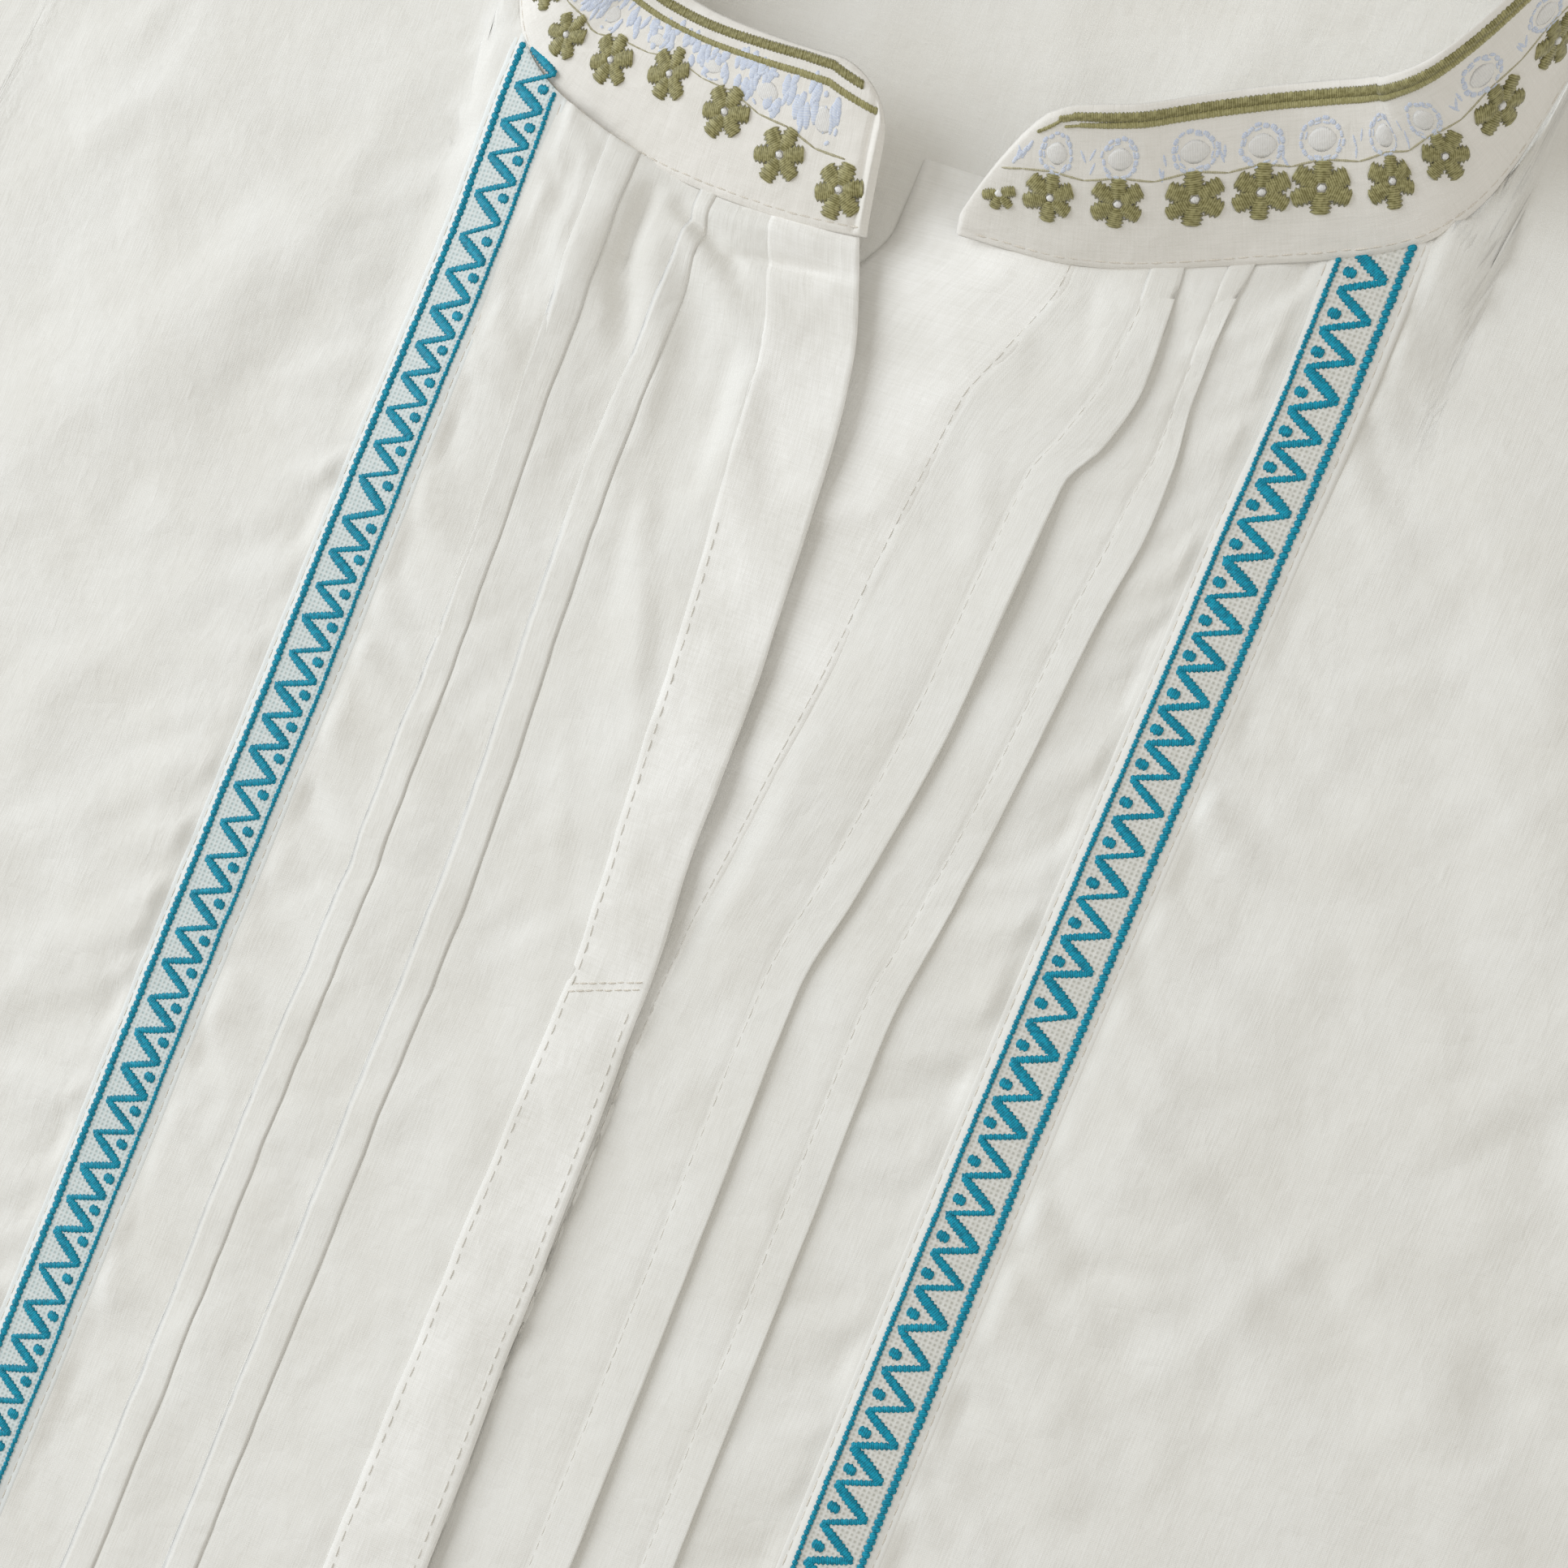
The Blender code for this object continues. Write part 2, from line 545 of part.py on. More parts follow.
def build_collar():
    at, total = path_reader(seam_path())
    ends = (0.0, 1.2, 3.6, 7.6, 14.0)
    middle = 34
    stations = list(ends)
    stations += [ends[-1] + (total - 2 * ends[-1]) * k / middle
                 for k in range(1, middle)]
    stations += [total - e for e in reversed(ends)]
    shares = (0.0, 0.4, 0.75, 1.0)
    low, high = [], []
    for s in stations:
        full = collar_height(s, total)
        lo, hi = [], []
        for f in shares:
            h = full * f
            p = collar_point(at, total, s, h)
            s0, s1 = max(0.0, s - 1.0), min(total, s + 1.0)
            a = collar_point(at, total, s0, h)
            b = collar_point(at, total, s1, h)
            c = collar_point(at, total, s, h + 0.5)
            t1 = [b[i] - a[i] for i in range(3)]
            t2 = [c[i] - p[i] for i in range(3)]
            n = (t1[1] * t2[2] - t1[2] * t2[1],
                 t1[2] * t2[0] - t1[0] * t2[2],
                 t1[0] * t2[1] - t1[1] * t2[0])
            size = math.sqrt(sum(v * v for v in n))
            n = [v / size * COLLAR_WALL / 2 for v in n]
            lo.append(tuple(p[i] - n[i] for i in range(3)))
            hi.append(tuple(p[i] + n[i] for i in range(3)))
        low.append(lo)
        high.append(hi)
    add_piece("collar", *grid_wall(low, high), (0.79, 0.76, 0.70), 0.85)


# ---- sleeves ----------------------------------------------------------------
SLEEVE_SHARES = (0.0, 0.05, 0.11, 0.2, 0.3, 0.42, 0.55, 0.7, 0.85, 1.0)
SECTION_STEPS = 7       # points across the top and across the bottom


def section(half, height):
    """Outer and inner outline (across, z) of a flattened tube."""
    r = height / 2.0
    outer, inner = [], []
    flat = half - r
    for k in range(SECTION_STEPS):
        a = -flat + 2 * flat * k / (SECTION_STEPS - 1)
        outer.append((a, 0.0))
        inner.append((a, CLOTH))
    for k in (1, 2):
        g = -math.pi / 2 + math.pi * k / 3
        outer.append((flat + r * math.cos(g), r + r * math.sin(g)))
        ri = r - CLOTH
        inner.append((flat + ri * math.cos(g), r + ri * math.sin(g)))
    for k in range(SECTION_STEPS):
        a = flat - 2 * flat * k / (SECTION_STEPS - 1)
        outer.append((a, height))
        inner.append((a, height - CLOTH))
    for k in (1, 2):
        g = math.pi / 2 + math.pi * k / 3
        outer.append((-flat + r * math.cos(g), r + r * math.sin(g)))
        ri = r - CLOTH
        inner.append((-flat + ri * math.cos(g), r + ri * math.sin(g)))
    return outer, inner


def armhole_point(share):
    rows = [(r["x"], r["y"]) for r in ARMHOLE]
    at, total = path_reader(rows)
    return at(total * share)


def build_sleeve(side, name):
    rings = []
    for share in SLEEVE_SHARES:
        tx, ty, ux, uy = (read(SLEEVE_SET, "share", share, key)
                          for key in ("top_x", "top_y", "under_x", "under_y"))
        half = math.hypot(ux - tx, uy - ty) / 2
        height = 2 * CLOTH + 0.5 + (SLEEVE_ROUND - 2 * CLOTH - 0.5) * smooth(
            0.0, 0.2, share)
        bend = max(0.0, 1.0 - share / 0.3)
        both = []
        for ring in section(half, height):
            pts = []
            for a, z in ring:
                f = 0.5 + 0.5 * a / half
                ax, ay = armhole_point(min(1.0, max(0.0, f)))
                on_x = TIP_X + (ARMPIT_X - TIP_X) * f
                on_y = TIP_Y + (ARMPIT_Y - TIP_Y) * f
                px = tx + (ux - tx) * f + (ax - on_x) * bend + SLEEVE_GAP
                py = ty + (uy - ty) * f + (ay - on_y) * bend
                pts.append((side * px, py, z))
            both.append(pts)
        rings.append(both)
    n = len(rings[0][0])
    m = len(rings)
    verts = [p for both in rings for p in both[0]]
    verts += [p for both in rings for p in both[1]]
    base = m * n
    faces = []
    for i in range(m - 1):
        for j in range(n):
            k = (j + 1) % n
            a, b = i * n + j, i * n + k
            c, d = (i + 1) * n + k, (i + 1) * n + j
            faces += [(a, b, c), (a, c, d)]
            faces += [(base + a, base + c, base + b),
                      (base + a, base + d, base + c)]
    for i, flip in ((0, True), (m - 1, False)):
        for j in range(n):
            k = (j + 1) % n
            a, b = i * n + j, i * n + k
            quad = (a, b, base + b, base + a)
            quad = quad[::-1] if flip else quad
            faces += [(quad[0], quad[1], quad[2]), (quad[0], quad[2], quad[3])]
    if side > 0:
        faces = [f[::-1] for f in faces]
    add_piece(name, verts, faces, (0.79, 0.77, 0.72), 0.85)


def centre_pieces():
    """Move everything so the origin is mid footprint on the resting plane."""
    pts = [v.co for o in PIECES for v in o.data.vertices]
    mid_x = (min(p.x for p in pts) + max(p.x for p in pts)) / 2
    mid_y = (min(p.y for p in pts) + max(p.y for p in pts)) / 2
    low_z = min(p.z for p in pts)
    for o in PIECES:
        for v in o.data.vertices:
            v.co.x -= mid_x
            v.co.y -= mid_y
            v.co.z -= low_z
        o.data.update()


def main():
    for old in list(bpy.data.objects):
        bpy.data.objects.remove(old, do_unlink=True)
    build_back()
    build_fronts()
    build_placket_under()
    build_placket_top()
    build_trims()
    build_collar()
    build_sleeve(-1, "sleeve_left")
    build_sleeve(1, "sleeve_right")
    centre_pieces()


main()
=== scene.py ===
"""Looks of the embroidered folk blouse, laid flat with its front up.

Garment sizes are in millimetres in the blouse's own plan: x to the viewer's
right across the sleeves, y from the hem up to the collar, z up. y = 0 lies 20 mm
below the left collar end. world() turns them into metres in the frame.
"""
import bpy
import math
import numpy as np
from mathutils import Matrix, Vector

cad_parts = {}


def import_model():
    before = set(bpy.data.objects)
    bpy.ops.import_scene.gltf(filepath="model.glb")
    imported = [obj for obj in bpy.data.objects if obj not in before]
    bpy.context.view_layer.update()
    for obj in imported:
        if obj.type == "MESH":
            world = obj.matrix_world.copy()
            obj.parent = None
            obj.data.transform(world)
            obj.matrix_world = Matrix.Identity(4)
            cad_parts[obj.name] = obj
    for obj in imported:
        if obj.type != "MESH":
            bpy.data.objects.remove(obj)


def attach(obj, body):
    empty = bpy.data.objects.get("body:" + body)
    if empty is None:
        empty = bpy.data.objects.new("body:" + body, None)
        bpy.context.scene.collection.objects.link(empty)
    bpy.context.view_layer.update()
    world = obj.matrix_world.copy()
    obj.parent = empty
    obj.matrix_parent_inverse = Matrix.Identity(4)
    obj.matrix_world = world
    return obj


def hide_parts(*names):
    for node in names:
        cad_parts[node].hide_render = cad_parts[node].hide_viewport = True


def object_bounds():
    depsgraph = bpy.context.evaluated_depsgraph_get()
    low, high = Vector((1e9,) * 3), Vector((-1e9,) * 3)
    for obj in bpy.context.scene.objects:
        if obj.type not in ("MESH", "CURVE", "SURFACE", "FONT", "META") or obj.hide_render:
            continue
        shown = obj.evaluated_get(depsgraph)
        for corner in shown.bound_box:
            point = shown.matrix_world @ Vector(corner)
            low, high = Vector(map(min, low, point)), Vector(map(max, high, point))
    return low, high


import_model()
LOW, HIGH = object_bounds()

# ---- sizes of the blouse ----------------------------------------------------
CLOTH = 1.2             # wall of the solids
THIN = 0.36             # the real cloth
GAP = 0.3
HEM_Y = -560.0
NECK_SIDE_X, NECK_SIDE_Y = 102.5, 104.0
TIP_X, TIP_Y = 200.0, 66.0
ARMPIT_X, ARMPIT_Y = 258.0, -135.0
HEM_HALF = 275.0
PLACKET_EDGE, PLACKET_SEAM, UNDER_SEAM = 6.6, 8.9, 8.6
SLIT_END_Y = -127.0
PLACKET_END, UNDER_END = 10.4, 6.9
COLLAR_H, COLLAR_ROUND = 31.0, 14.0
COLLAR_WALL = 1.1
SLEEVE_ROUND, SLEEVE_GAP = 5.2, 1.0
FRONT_LOW, UNDER_LOW, TOP_LOW = 1.5, 1.6, 3.3
NECK_RISE, NECK_REACH = 4.6, 34.0
SIDE_LIFT = 2.2
TRIM_HALF = 9.0
BORDER = 5.75           # the teal borders lie this far from a trim's middle

Y_MOVE = LOW.y * 1000.0 - HEM_Y


def world(p):
    """Garment millimetres to metres in the frame."""
    p = np.asarray(p, float)
    out = p * 0.001
    out[..., 1] += Y_MOVE * 0.001
    return out


def table(columns, *rows):
    names = columns.split()
    return {n: np.array([r[i] for r in rows], float)
            for i, n in enumerate(names)}


NECK_LEFT = table("x y",
                  (-102.5, 104.0), (-102.2, 84.0), (-101.0, 65.0),
                  (-98.2, 50.0), (-93.5, 39.0), (-86.0, 31.2), (-76.0, 26.0),
                  (-60.0, 21.5), (-44.6, 19.6), (-25.0, 19.2), (-9.2, 20.7))
NECK_RIGHT = table("x y",
                   (7.6, 26.3), (20.0, 26.6), (29.0, 27.3), (42.3, 30.4),
                   (56.0, 35.6), (73.5, 42.6), (84.0, 47.5), (92.0, 54.0),
                   (98.0, 65.0), (101.5, 82.0), (102.5, 104.0))
NECK_BACK = table("x y",
                  (0.0, 93.0), (40.0, 94.5), (68.0, 98.0), (88.0, 103.0),
                  (97.0, 105.0), (102.5, 104.0))
ARMHOLE = table("x y",
                (200.0, 66.0), (202.0, 30.0), (206.0, -10.0), (213.0, -52.0),
                (225.0, -92.0), (240.0, -118.0), (258.0, -135.0))
SLEEVE_SET = table("share top_x top_y under_x under_y",
                   (0.00, TIP_X, TIP_Y, ARMPIT_X, ARMPIT_Y),
                   (0.10, 262.0, 47.0, 276.0, -147.0),
                   (0.20, 322.0, 18.0, 299.0, -161.0),
                   (0.35, 396.0, -34.0, 336.0, -181.0),
                   (0.55, 482.0, -105.0, 394.0, -219.0),
                   (0.75, 548.0, -163.0, 467.0, -267.0),
                   (1.00, 630.0, -235.0, 558.0, -327.0))
# How far the open slit moves each lengthwise line of the fronts.
SHIFT_LEFT = table("y edge seam fold_b fold_a band",
                   (-240.0, 2.2, -0.9, 0.3, 0.2, 0.0),
                   (-180.0, 1.0, -0.4, 0.2, 0.0, 0.0),
                   (-130.0, 0.0, 0.0, 0.0, 0.6, 0.0),
                   (-106.0, -1.6, -1.8, -0.8, -0.1, 0.0),
                   (-84.0, -2.7, -3.5, -2.3, -0.3, 0.0),
                   (-67.0, -3.2, -5.0, -3.5, -0.6, 0.1),
                   (-36.0, -5.2, -8.4, -4.4, -2.0, 0.5),
                   (-4.0, -8.8, -11.9, -3.2, -3.0, 1.5),
                   (14.0, -14.2, -18.0, -2.4, -3.1, 1.7),
                   (21.0, -17.0, -19.6, -2.2, -3.1, 1.8))
SHIFT_RIGHT = table("y under seam fold_1 fold_2 band",
                    (-240.0, 0.0, 0.0, 0.3, 0.2, 0.0),
                    (-160.0, 0.0, 0.0, -0.4, -0.3, 0.0),
                    (-118.0, 0.2, 0.8, -0.9, -0.7, 0.2),
                    (-95.0, 0.8, 3.2, 2.9, 1.8, 0.5),
                    (-60.0, 1.6, 7.2, 7.5, 5.2, 1.2),
                    (-33.0, 2.6, 9.0, 8.7, 7.2, 1.7),
                    (-11.0, 4.4, 11.4, 9.8, 9.7, 2.0),
                    (-2.0, 5.4, 12.6, 14.4, 9.7, 2.2),
                    (11.0, 8.6, 18.2, 17.4, 8.4, 2.6),
                    (26.0, 15.8, 22.8, 16.8, 8.6, 2.9),
                    (40.0, 16.0, 23.0, 15.2, 9.8, 3.0))
# The band's stations are doubled because woven trim keeps its width.
STATIONS_LEFT = ((-6.6, "edge"), (8.9, "seam"), (42.0, "fold_b"),
                 (62.0, "fold_a"), (77.5, "band"), (96.5, "band"))
STATIONS_RIGHT = ((-8.9, "under"), (8.6, "seam"), (34.2, "fold_1"),
                  (52.4, "fold_2"), (69.3, "band"), (88.3, "band"))
BAND = {-1: 87.0, 1: 78.8}
# Sewn tucks: stitched line and free folded edge.
TUCKS = {-1: (("fold_b", 34.8, 42.0), ("fold_a", 55.3, 62.0)),
         1: (("fold_1", 26.0, 34.2), ("fold_2", 46.2, 52.4))}
# How far each folded edge stands off the cloth below it.
LIFTS = table("y fold_b fold_a fold_1 fold_2",
              (-560.0, 0.20, 0.18, 0.6, 0.45), (-420.0, 0.16, 0.20, 0.8, 0.5),
              (-300.0, 0.18, 0.16, 0.8, 0.5), (-220.0, 0.20, 0.18, 0.8, 0.5),
              (-160.0, 0.16, 0.18, 0.6, 0.4), (-118.0, 0.18, 0.20, 0.7, 0.4),
              (-84.0, 0.18, 0.22, 0.8, 0.4), (-60.0, 0.14, 0.26, 0.9, 0.5),
              (-33.0, 0.10, 0.34, 1.8, 0.5), (-14.0, 0.08, 0.34, 1.0, 0.6),
              (-4.0, 0.08, 0.26, 0.6, 0.7), (10.0, 0.08, 0.2, 0.7, 0.4),
              (24.0, 0.08, 0.2, 0.6, 0.3), (40.0, 0.08, 0.2, 0.3, 0.3))
# Largest folds: a soft ridge or trough from one point to the next, its half
# width and its rise.
FOLDS = (("pucker_a", -53.6, 16.0, -54.2, 1.0, 1.7, -2.0),
         ("pucker_a2", -54.4, 2.0, -49.0, -12.5, 2.5, -2.3),
         ("pucker_a_left", -60.0, 15.0, -64.0, -12.0, 4.2, 1.5),
         ("pucker_a_right", -48.5, 9.0, -43.0, -10.0, 3.4, 1.2),
         ("pucker_b", -38.0, 0.0, -30.0, -34.0, 6.5, -2.0),
         ("seam_roll", -42.0, 15.5, -11.0, 17.4, 2.3, 1.4),
         ("seam_dip", -33.0, 9.8, -10.0, 12.3, 1.5, -1.7),
         ("seam_dip_left", -47.0, 15.2, -31.0, 7.4, 1.6, -1.9),
         ("slope_left", -112.0, 30.0, -120.0, -60.0, 13.0, -0.9),
         ("slack_left", -33.0, -40.0, -14.0, -84.0, 7.0, 0.8),
         ("slit_ridge", 15.0, -120.0, 27.0, -40.0, 9.5, 1.4),
         ("slit_top", 38.0, -8.0, 44.0, 24.0, 8.0, 0.8),
         ("panel_diagonal", 98.0, -118.0, 150.0, -158.0, 11.0, 1.8),
         ("panel_right", 120.0, 10.0, 165.0, -70.0, 14.0, 2.4),
         ("panel_left", -120.0, -10.0, -170.0, -80.0, 15.0, 2.6),
         ("underarm_right", 232.0, -150.0, 150.0, -250.0, 16.0, 3.2),
         ("underarm_left", -232.0, -150.0, -155.0, -262.0, 17.0, 3.4),
         ("skirt_right", 150.0, -330.0, 172.0, -555.0, 19.0, 3.2),
         ("skirt_left", -138.0, -360.0, -160.0, -555.0, 20.0, 3.4),
         ("skirt_side", 226.0, -300.0, 236.0, -540.0, 15.0, 2.2),
         ("skirt_far", -222.0, -300.0, -236.0, -540.0, 14.0, 2.4))
# Creases of the cloth, laid one by one like the folds.
CREASES = (
    # gathers under the left collar
    ("gather_a", -44.0, 10.0, -24.4, -4.0, 2.8, 1.7),
    ("gather_b", -24.0, 4.0, -14.0, -8.0, 3.6, 0.8),
    ("gather_c", -70.0, 14.0, -74.0, -14.0, 3.4, -0.8),
    ("gather_d", -27.0, -8.0, -24.0, -34.0, 2.4, -0.9),
    ("gather_e", -21.0, -4.0, -19.0, -30.0, 3.0, 0.9),
    ("gather_f", -40.0, -6.0, -38.0, -30.0, 2.4, 0.9),
    ("gather_g", -68.0, 20.0, -67.0, -2.0, 2.0, 0.6),
    # slack between the left tucks and the slit
    ("slack_a", -31.0, -26.0, -25.0, -58.0, 3.0, -0.6),
    ("slack_b", -30.0, -44.0, -14.0, -86.0, 2.6, 0.55),
    ("slack_c", -36.0, -34.0, -31.0, -64.0, 2.4, -0.6),
    ("slack_d", -23.0, -52.0, -15.0, -76.0, 2.4, -0.45),
    ("slack_e", -29.0, -88.0, -20.0, -112.0, 3.0, 0.45),
    ("slack_f", -20.0, -12.0, -11.0, -40.0, 3.4, 0.7),
    ("slack_g", -24.0, -98.0, -14.0, -120.0, 2.6, -0.4),
    ("slack_h", -18.0, -18.0, -8.0, -26.0, 2.8, -0.5),
    # right of the slit
    ("lap_a", 24.0, 22.0, 30.0, -4.0, 2.2, 0.35),
    ("lap_b", 36.0, 26.0, 40.0, 4.0, 2.0, -0.35),
    ("lap_c", 20.0, -34.0, 12.0, -70.0, 2.6, -0.5),
    ("lap_d", 26.0, -6.0, 34.0, -30.0, 3.0, 0.6),
    ("lap_e", 12.0, -84.0, 8.0, -128.0, 2.6, -0.45),
    ("lap_f", 19.0, -70.0, 15.0, -112.0, 3.0, 0.6),
    # left side panel
    ("left_a", -101.0, 34.0, -103.0, -38.0, 5.0, -0.9),
    ("left_b", -113.0, 26.0, -121.0, -16.0, 6.0, 0.75),
    ("left_c", -108.0, -28.0, -127.0, -52.0, 4.0, -0.7),
    ("left_d", -99.0, -34.0, -116.0, -44.0, 2.6, 0.6),
    ("left_e", -99.0, -48.0, -113.0, -60.0, 2.6, 0.6),
    ("left_f", -100.0, -64.0, -120.0, -82.0, 3.0, 0.5),
    ("left_g", -128.0, 12.0, -150.0, -30.0, 7.0, -0.9),
    ("left_h", -112.0, -90.0, -138.0, -120.0, 5.0, 0.7),
    ("left_i", -146.0, -96.0, -182.0, -112.0, 7.0, -0.8),
    ("left_j", -160.0, 20.0, -190.0, -28.0, 8.0, 1.0),
    ("left_k", -121.0, -140.0, -160.0, -176.0, 7.0, 0.8),
    ("left_l", -104.0, -170.0, -124.0, -220.0, 6.0, -0.6),
    # right side panel
    ("right_a", 92.0, -60.0, 104.0, -66.0, 2.2, 0.5),
    ("right_b", 92.0, -71.0, 108.0, -80.0, 2.4, 0.55),
    ("right_c", 92.0, -84.0, 105.0, -92.0, 2.2, 0.45),
    ("right_d", 92.0, -98.0, 110.0, -110.0, 2.6, 0.55),
    ("right_e", 93.0, -126.0, 128.0, -146.0, 3.4, -0.6),
    ("right_f", 92.0, -140.0, 116.0, -160.0, 3.0, 0.6),
    ("right_g", 98.0, -96.0, 138.0, -138.0, 4.0, -0.55),
    ("right_h", 104.0, -160.0, 118.0, -206.0, 4.5, 0.5),
    ("right_i", 118.0, -58.0, 150.0, -88.0, 5.0, 0.6),
    ("right_j", 130.0, -20.0, 176.0, -58.0, 7.0, -0.8),
    ("right_k", 128.0, 60.0, 156.0, 8.0, 8.0, 0.9),
    ("right_l", 154.0, -130.0, 190.0, -170.0, 8.0, 0.9),
    # skirt, outside the picture
    ("skirt_a", -60.0, -300.0, -66.0, -420.0, 7.0, 0.7),
    ("skirt_b", 60.0, -320.0, 66.0, -470.0, 8.0, -0.7),
    ("skirt_c", 108.0, -270.0, 122.0, -400.0, 8.0, 1.0),
    ("skirt_d", -104.0, -280.0, -120.0, -430.0, 9.0, -1.0),
    ("skirt_e", 196.0, -230.0, 204.0, -420.0, 10.0, 1.2),
    ("skirt_f", -190.0, -250.0, -204.0, -460.0, 11.0, 1.3),
    ("skirt_g", 140.0, -420.0, 128.0, -540.0, 9.0, -1.1),
    ("skirt_h", -176.0, -440.0, -186.0, -552.0, 9.0, -1.0),
    ("skirt_i", 20.0, -330.0, 24.0, -540.0, 7.0, 0.5),
    ("skirt_j", -24.0, -380.0, -26.0, -552.0, 7.0, -0.5),
    ("skirt_k", 236.0, -190.0, 262.0, -260.0, 9.0, -1.0),
    ("skirt_l", -236.0, -200.0, -260.0, -280.0, 9.0, -1.0),
)
COLLAR_SET = table("share lean height inset",
                   (0.00, 17.0, 6.9, 0.6), (0.13, 18.0, 6.9, 0.6),
                   (0.18, 32.0, 6.9, 0.9), (0.225, 58.0, 6.8, 1.15),
                   (0.265, 76.0, 6.6, 1.2), (0.305, 98.0, 6.6, 0.7),
                   (0.345, 130.0, 4.6, -0.5), (0.43, 144.0, 1.7, -0.7),
                   (0.50, 146.0, 1.4, -0.7), (0.57, 144.0, 1.7, -0.7),
                   (0.655, 130.0, 4.6, -0.5), (0.695, 98.0, 6.6, 0.7),
                   (0.735, 76.0, 6.6, 1.2), (0.775, 60.0, 6.8, 1.15),
                   (0.82, 40.0, 6.9, 0.95), (0.87, 33.0, 6.9, 0.9),
                   (0.93, 44.0, 6.9, 1.0), (1.00, 48.0, 6.9, 1.05))


# ---- curves and surfaces ----------------------------------------------------
def smooth(a, b, value):
    t = np.clip((np.asarray(value, float) - a) / (b - a), 0.0, 1.0)
    return t * t * (3.0 - 2.0 * t)


_curves = {}


def read(rows, key, value, column):
    """Smooth monotone curve through one column of a table."""
    name = (id(rows), key, column)
    if name not in _curves:
        order = np.argsort(rows[key])
        xs, ys = rows[key][order], rows[column][order]
        step = np.diff(xs)
        rate = np.diff(ys) / step
        slope = np.zeros(len(xs))
        slope[0], slope[-1] = rate[0], rate[-1]
        for i in range(1, len(xs) - 1):
            if rate[i - 1] * rate[i] > 0.0:
                w1 = 2.0 * step[i] + step[i - 1]
                w2 = step[i] + 2.0 * step[i - 1]
                slope[i] = (w1 + w2) / (w1 / rate[i - 1] + w2 / rate[i])
        _curves[name] = (xs, ys, step, slope)
    xs, ys, step, slope = _curves[name]
    v = np.clip(np.asarray(value, float), xs[0], xs[-1])
    i = np.clip(np.searchsorted(xs, v, side="right") - 1, 0, len(xs) - 2)
    t = (v - xs[i]) / step[i]
    return ((2 * t**3 - 3 * t**2 + 1) * ys[i]
            + (t**3 - 2 * t**2 + t) * step[i] * slope[i]
            + (-2 * t**3 + 3 * t**2) * ys[i + 1]
            + (t**3 - t**2) * step[i] * slope[i + 1])


def neck_y(side, x):
    return read(NECK_LEFT if side < 0 else NECK_RIGHT, "x", x, "y")


def shoulder_y(x):
    t = (np.abs(x) - NECK_SIDE_X) / (TIP_X - NECK_SIDE_X)
    return NECK_SIDE_Y + t * (TIP_Y - NECK_SIDE_Y) + 3.0 * t * (1.0 - t)


def laid_shift(side, reach, y):
    """Sideways move of the lengthwise line at reach from the centre."""
    rows = SHIFT_LEFT if side < 0 else SHIFT_RIGHT
    stations = STATIONS_LEFT if side < 0 else STATIONS_RIGHT
    reach, y = np.broadcast_arrays(np.asarray(reach, float),
                                   np.asarray(y, float))
    marks = [s for s, _ in stations] + [NECK_SIDE_X]
    values = [read(rows, "y", y, k) for _, k in stations]
    values.append(np.zeros_like(y))
    out = np.where(reach <= marks[0], values[0], 0.0)
    for s0, s1, v0, v1 in zip(marks, marks[1:], values, values[1:]):
        inside = (reach > s0) & (reach <= s1)
        out = np.where(inside, v0 + (v1 - v0) * (reach - s0) / (s1 - s0), out)
    return out


def top_of_line(side, reach):
    reach = np.asarray(reach, float)
    y = neck_y(side, side * reach)
    for _ in range(14):
        x = side * reach + laid_shift(side, reach, y)
        y = 0.5 * y + 0.5 * neck_y(side, x)
    return y


def back_lift(x, y):
    near = np.exp(-((np.abs(x) - NECK_SIDE_X) / 26.0) ** 2)
    return SIDE_LIFT * near * smooth(70.0, 104.0, y)


def ridges(rows, x, y):
    total = np.zeros(np.broadcast(x, y).shape)
    for _, x0, y0, x1, y1, half, rise in rows:
        dx, dy = x1 - x0, y1 - y0
        t = ((x - x0) * dx + (y - y0) * dy) / (dx * dx + dy * dy)
        along = np.clip(t, 0.0, 1.0)
        px, py = x0 + along * dx, y0 + along * dy
        across = np.hypot(x - px, y - py) / half
        body = np.exp(-across * across)
        taper = 0.35 + 0.65 * np.sin(np.pi * (0.1 + 0.8 * along))
        total += rise * body * taper
    return total


_lattice = {}


def field(x, y, size, seed):
    """Smooth irregular hills and hollows of about the given size, -1 to 1."""
    if seed not in _lattice:
        _lattice[seed] = np.random.RandomState(seed).uniform(-1, 1, (64, 64))
    g = _lattice[seed]
    u, v = np.asarray(x, float) / size, np.asarray(y, float) / size
    i, j = np.floor(u).astype(int), np.floor(v).astype(int)
    a, b = u - i, v - j
    a, b = a * a * a * (a * (6 * a - 15) + 10), b * b * b * (b * (6 * b - 15) + 10)

    def at(p, q):
        return g[p % 64, q % 64]
    return ((at(i, j) * (1 - a) + at(i + 1, j) * a) * (1 - b)
            + (at(i, j + 1) * (1 - a) + at(i + 1, j + 1) * a) * b)


def turned(x, y, degrees):
    c, s = math.cos(math.radians(degrees)), math.sin(math.radians(degrees))
    return x * c + y * s, -x * s + y * c


ROUGH = 0.85            # how rumpled the washed cotton is


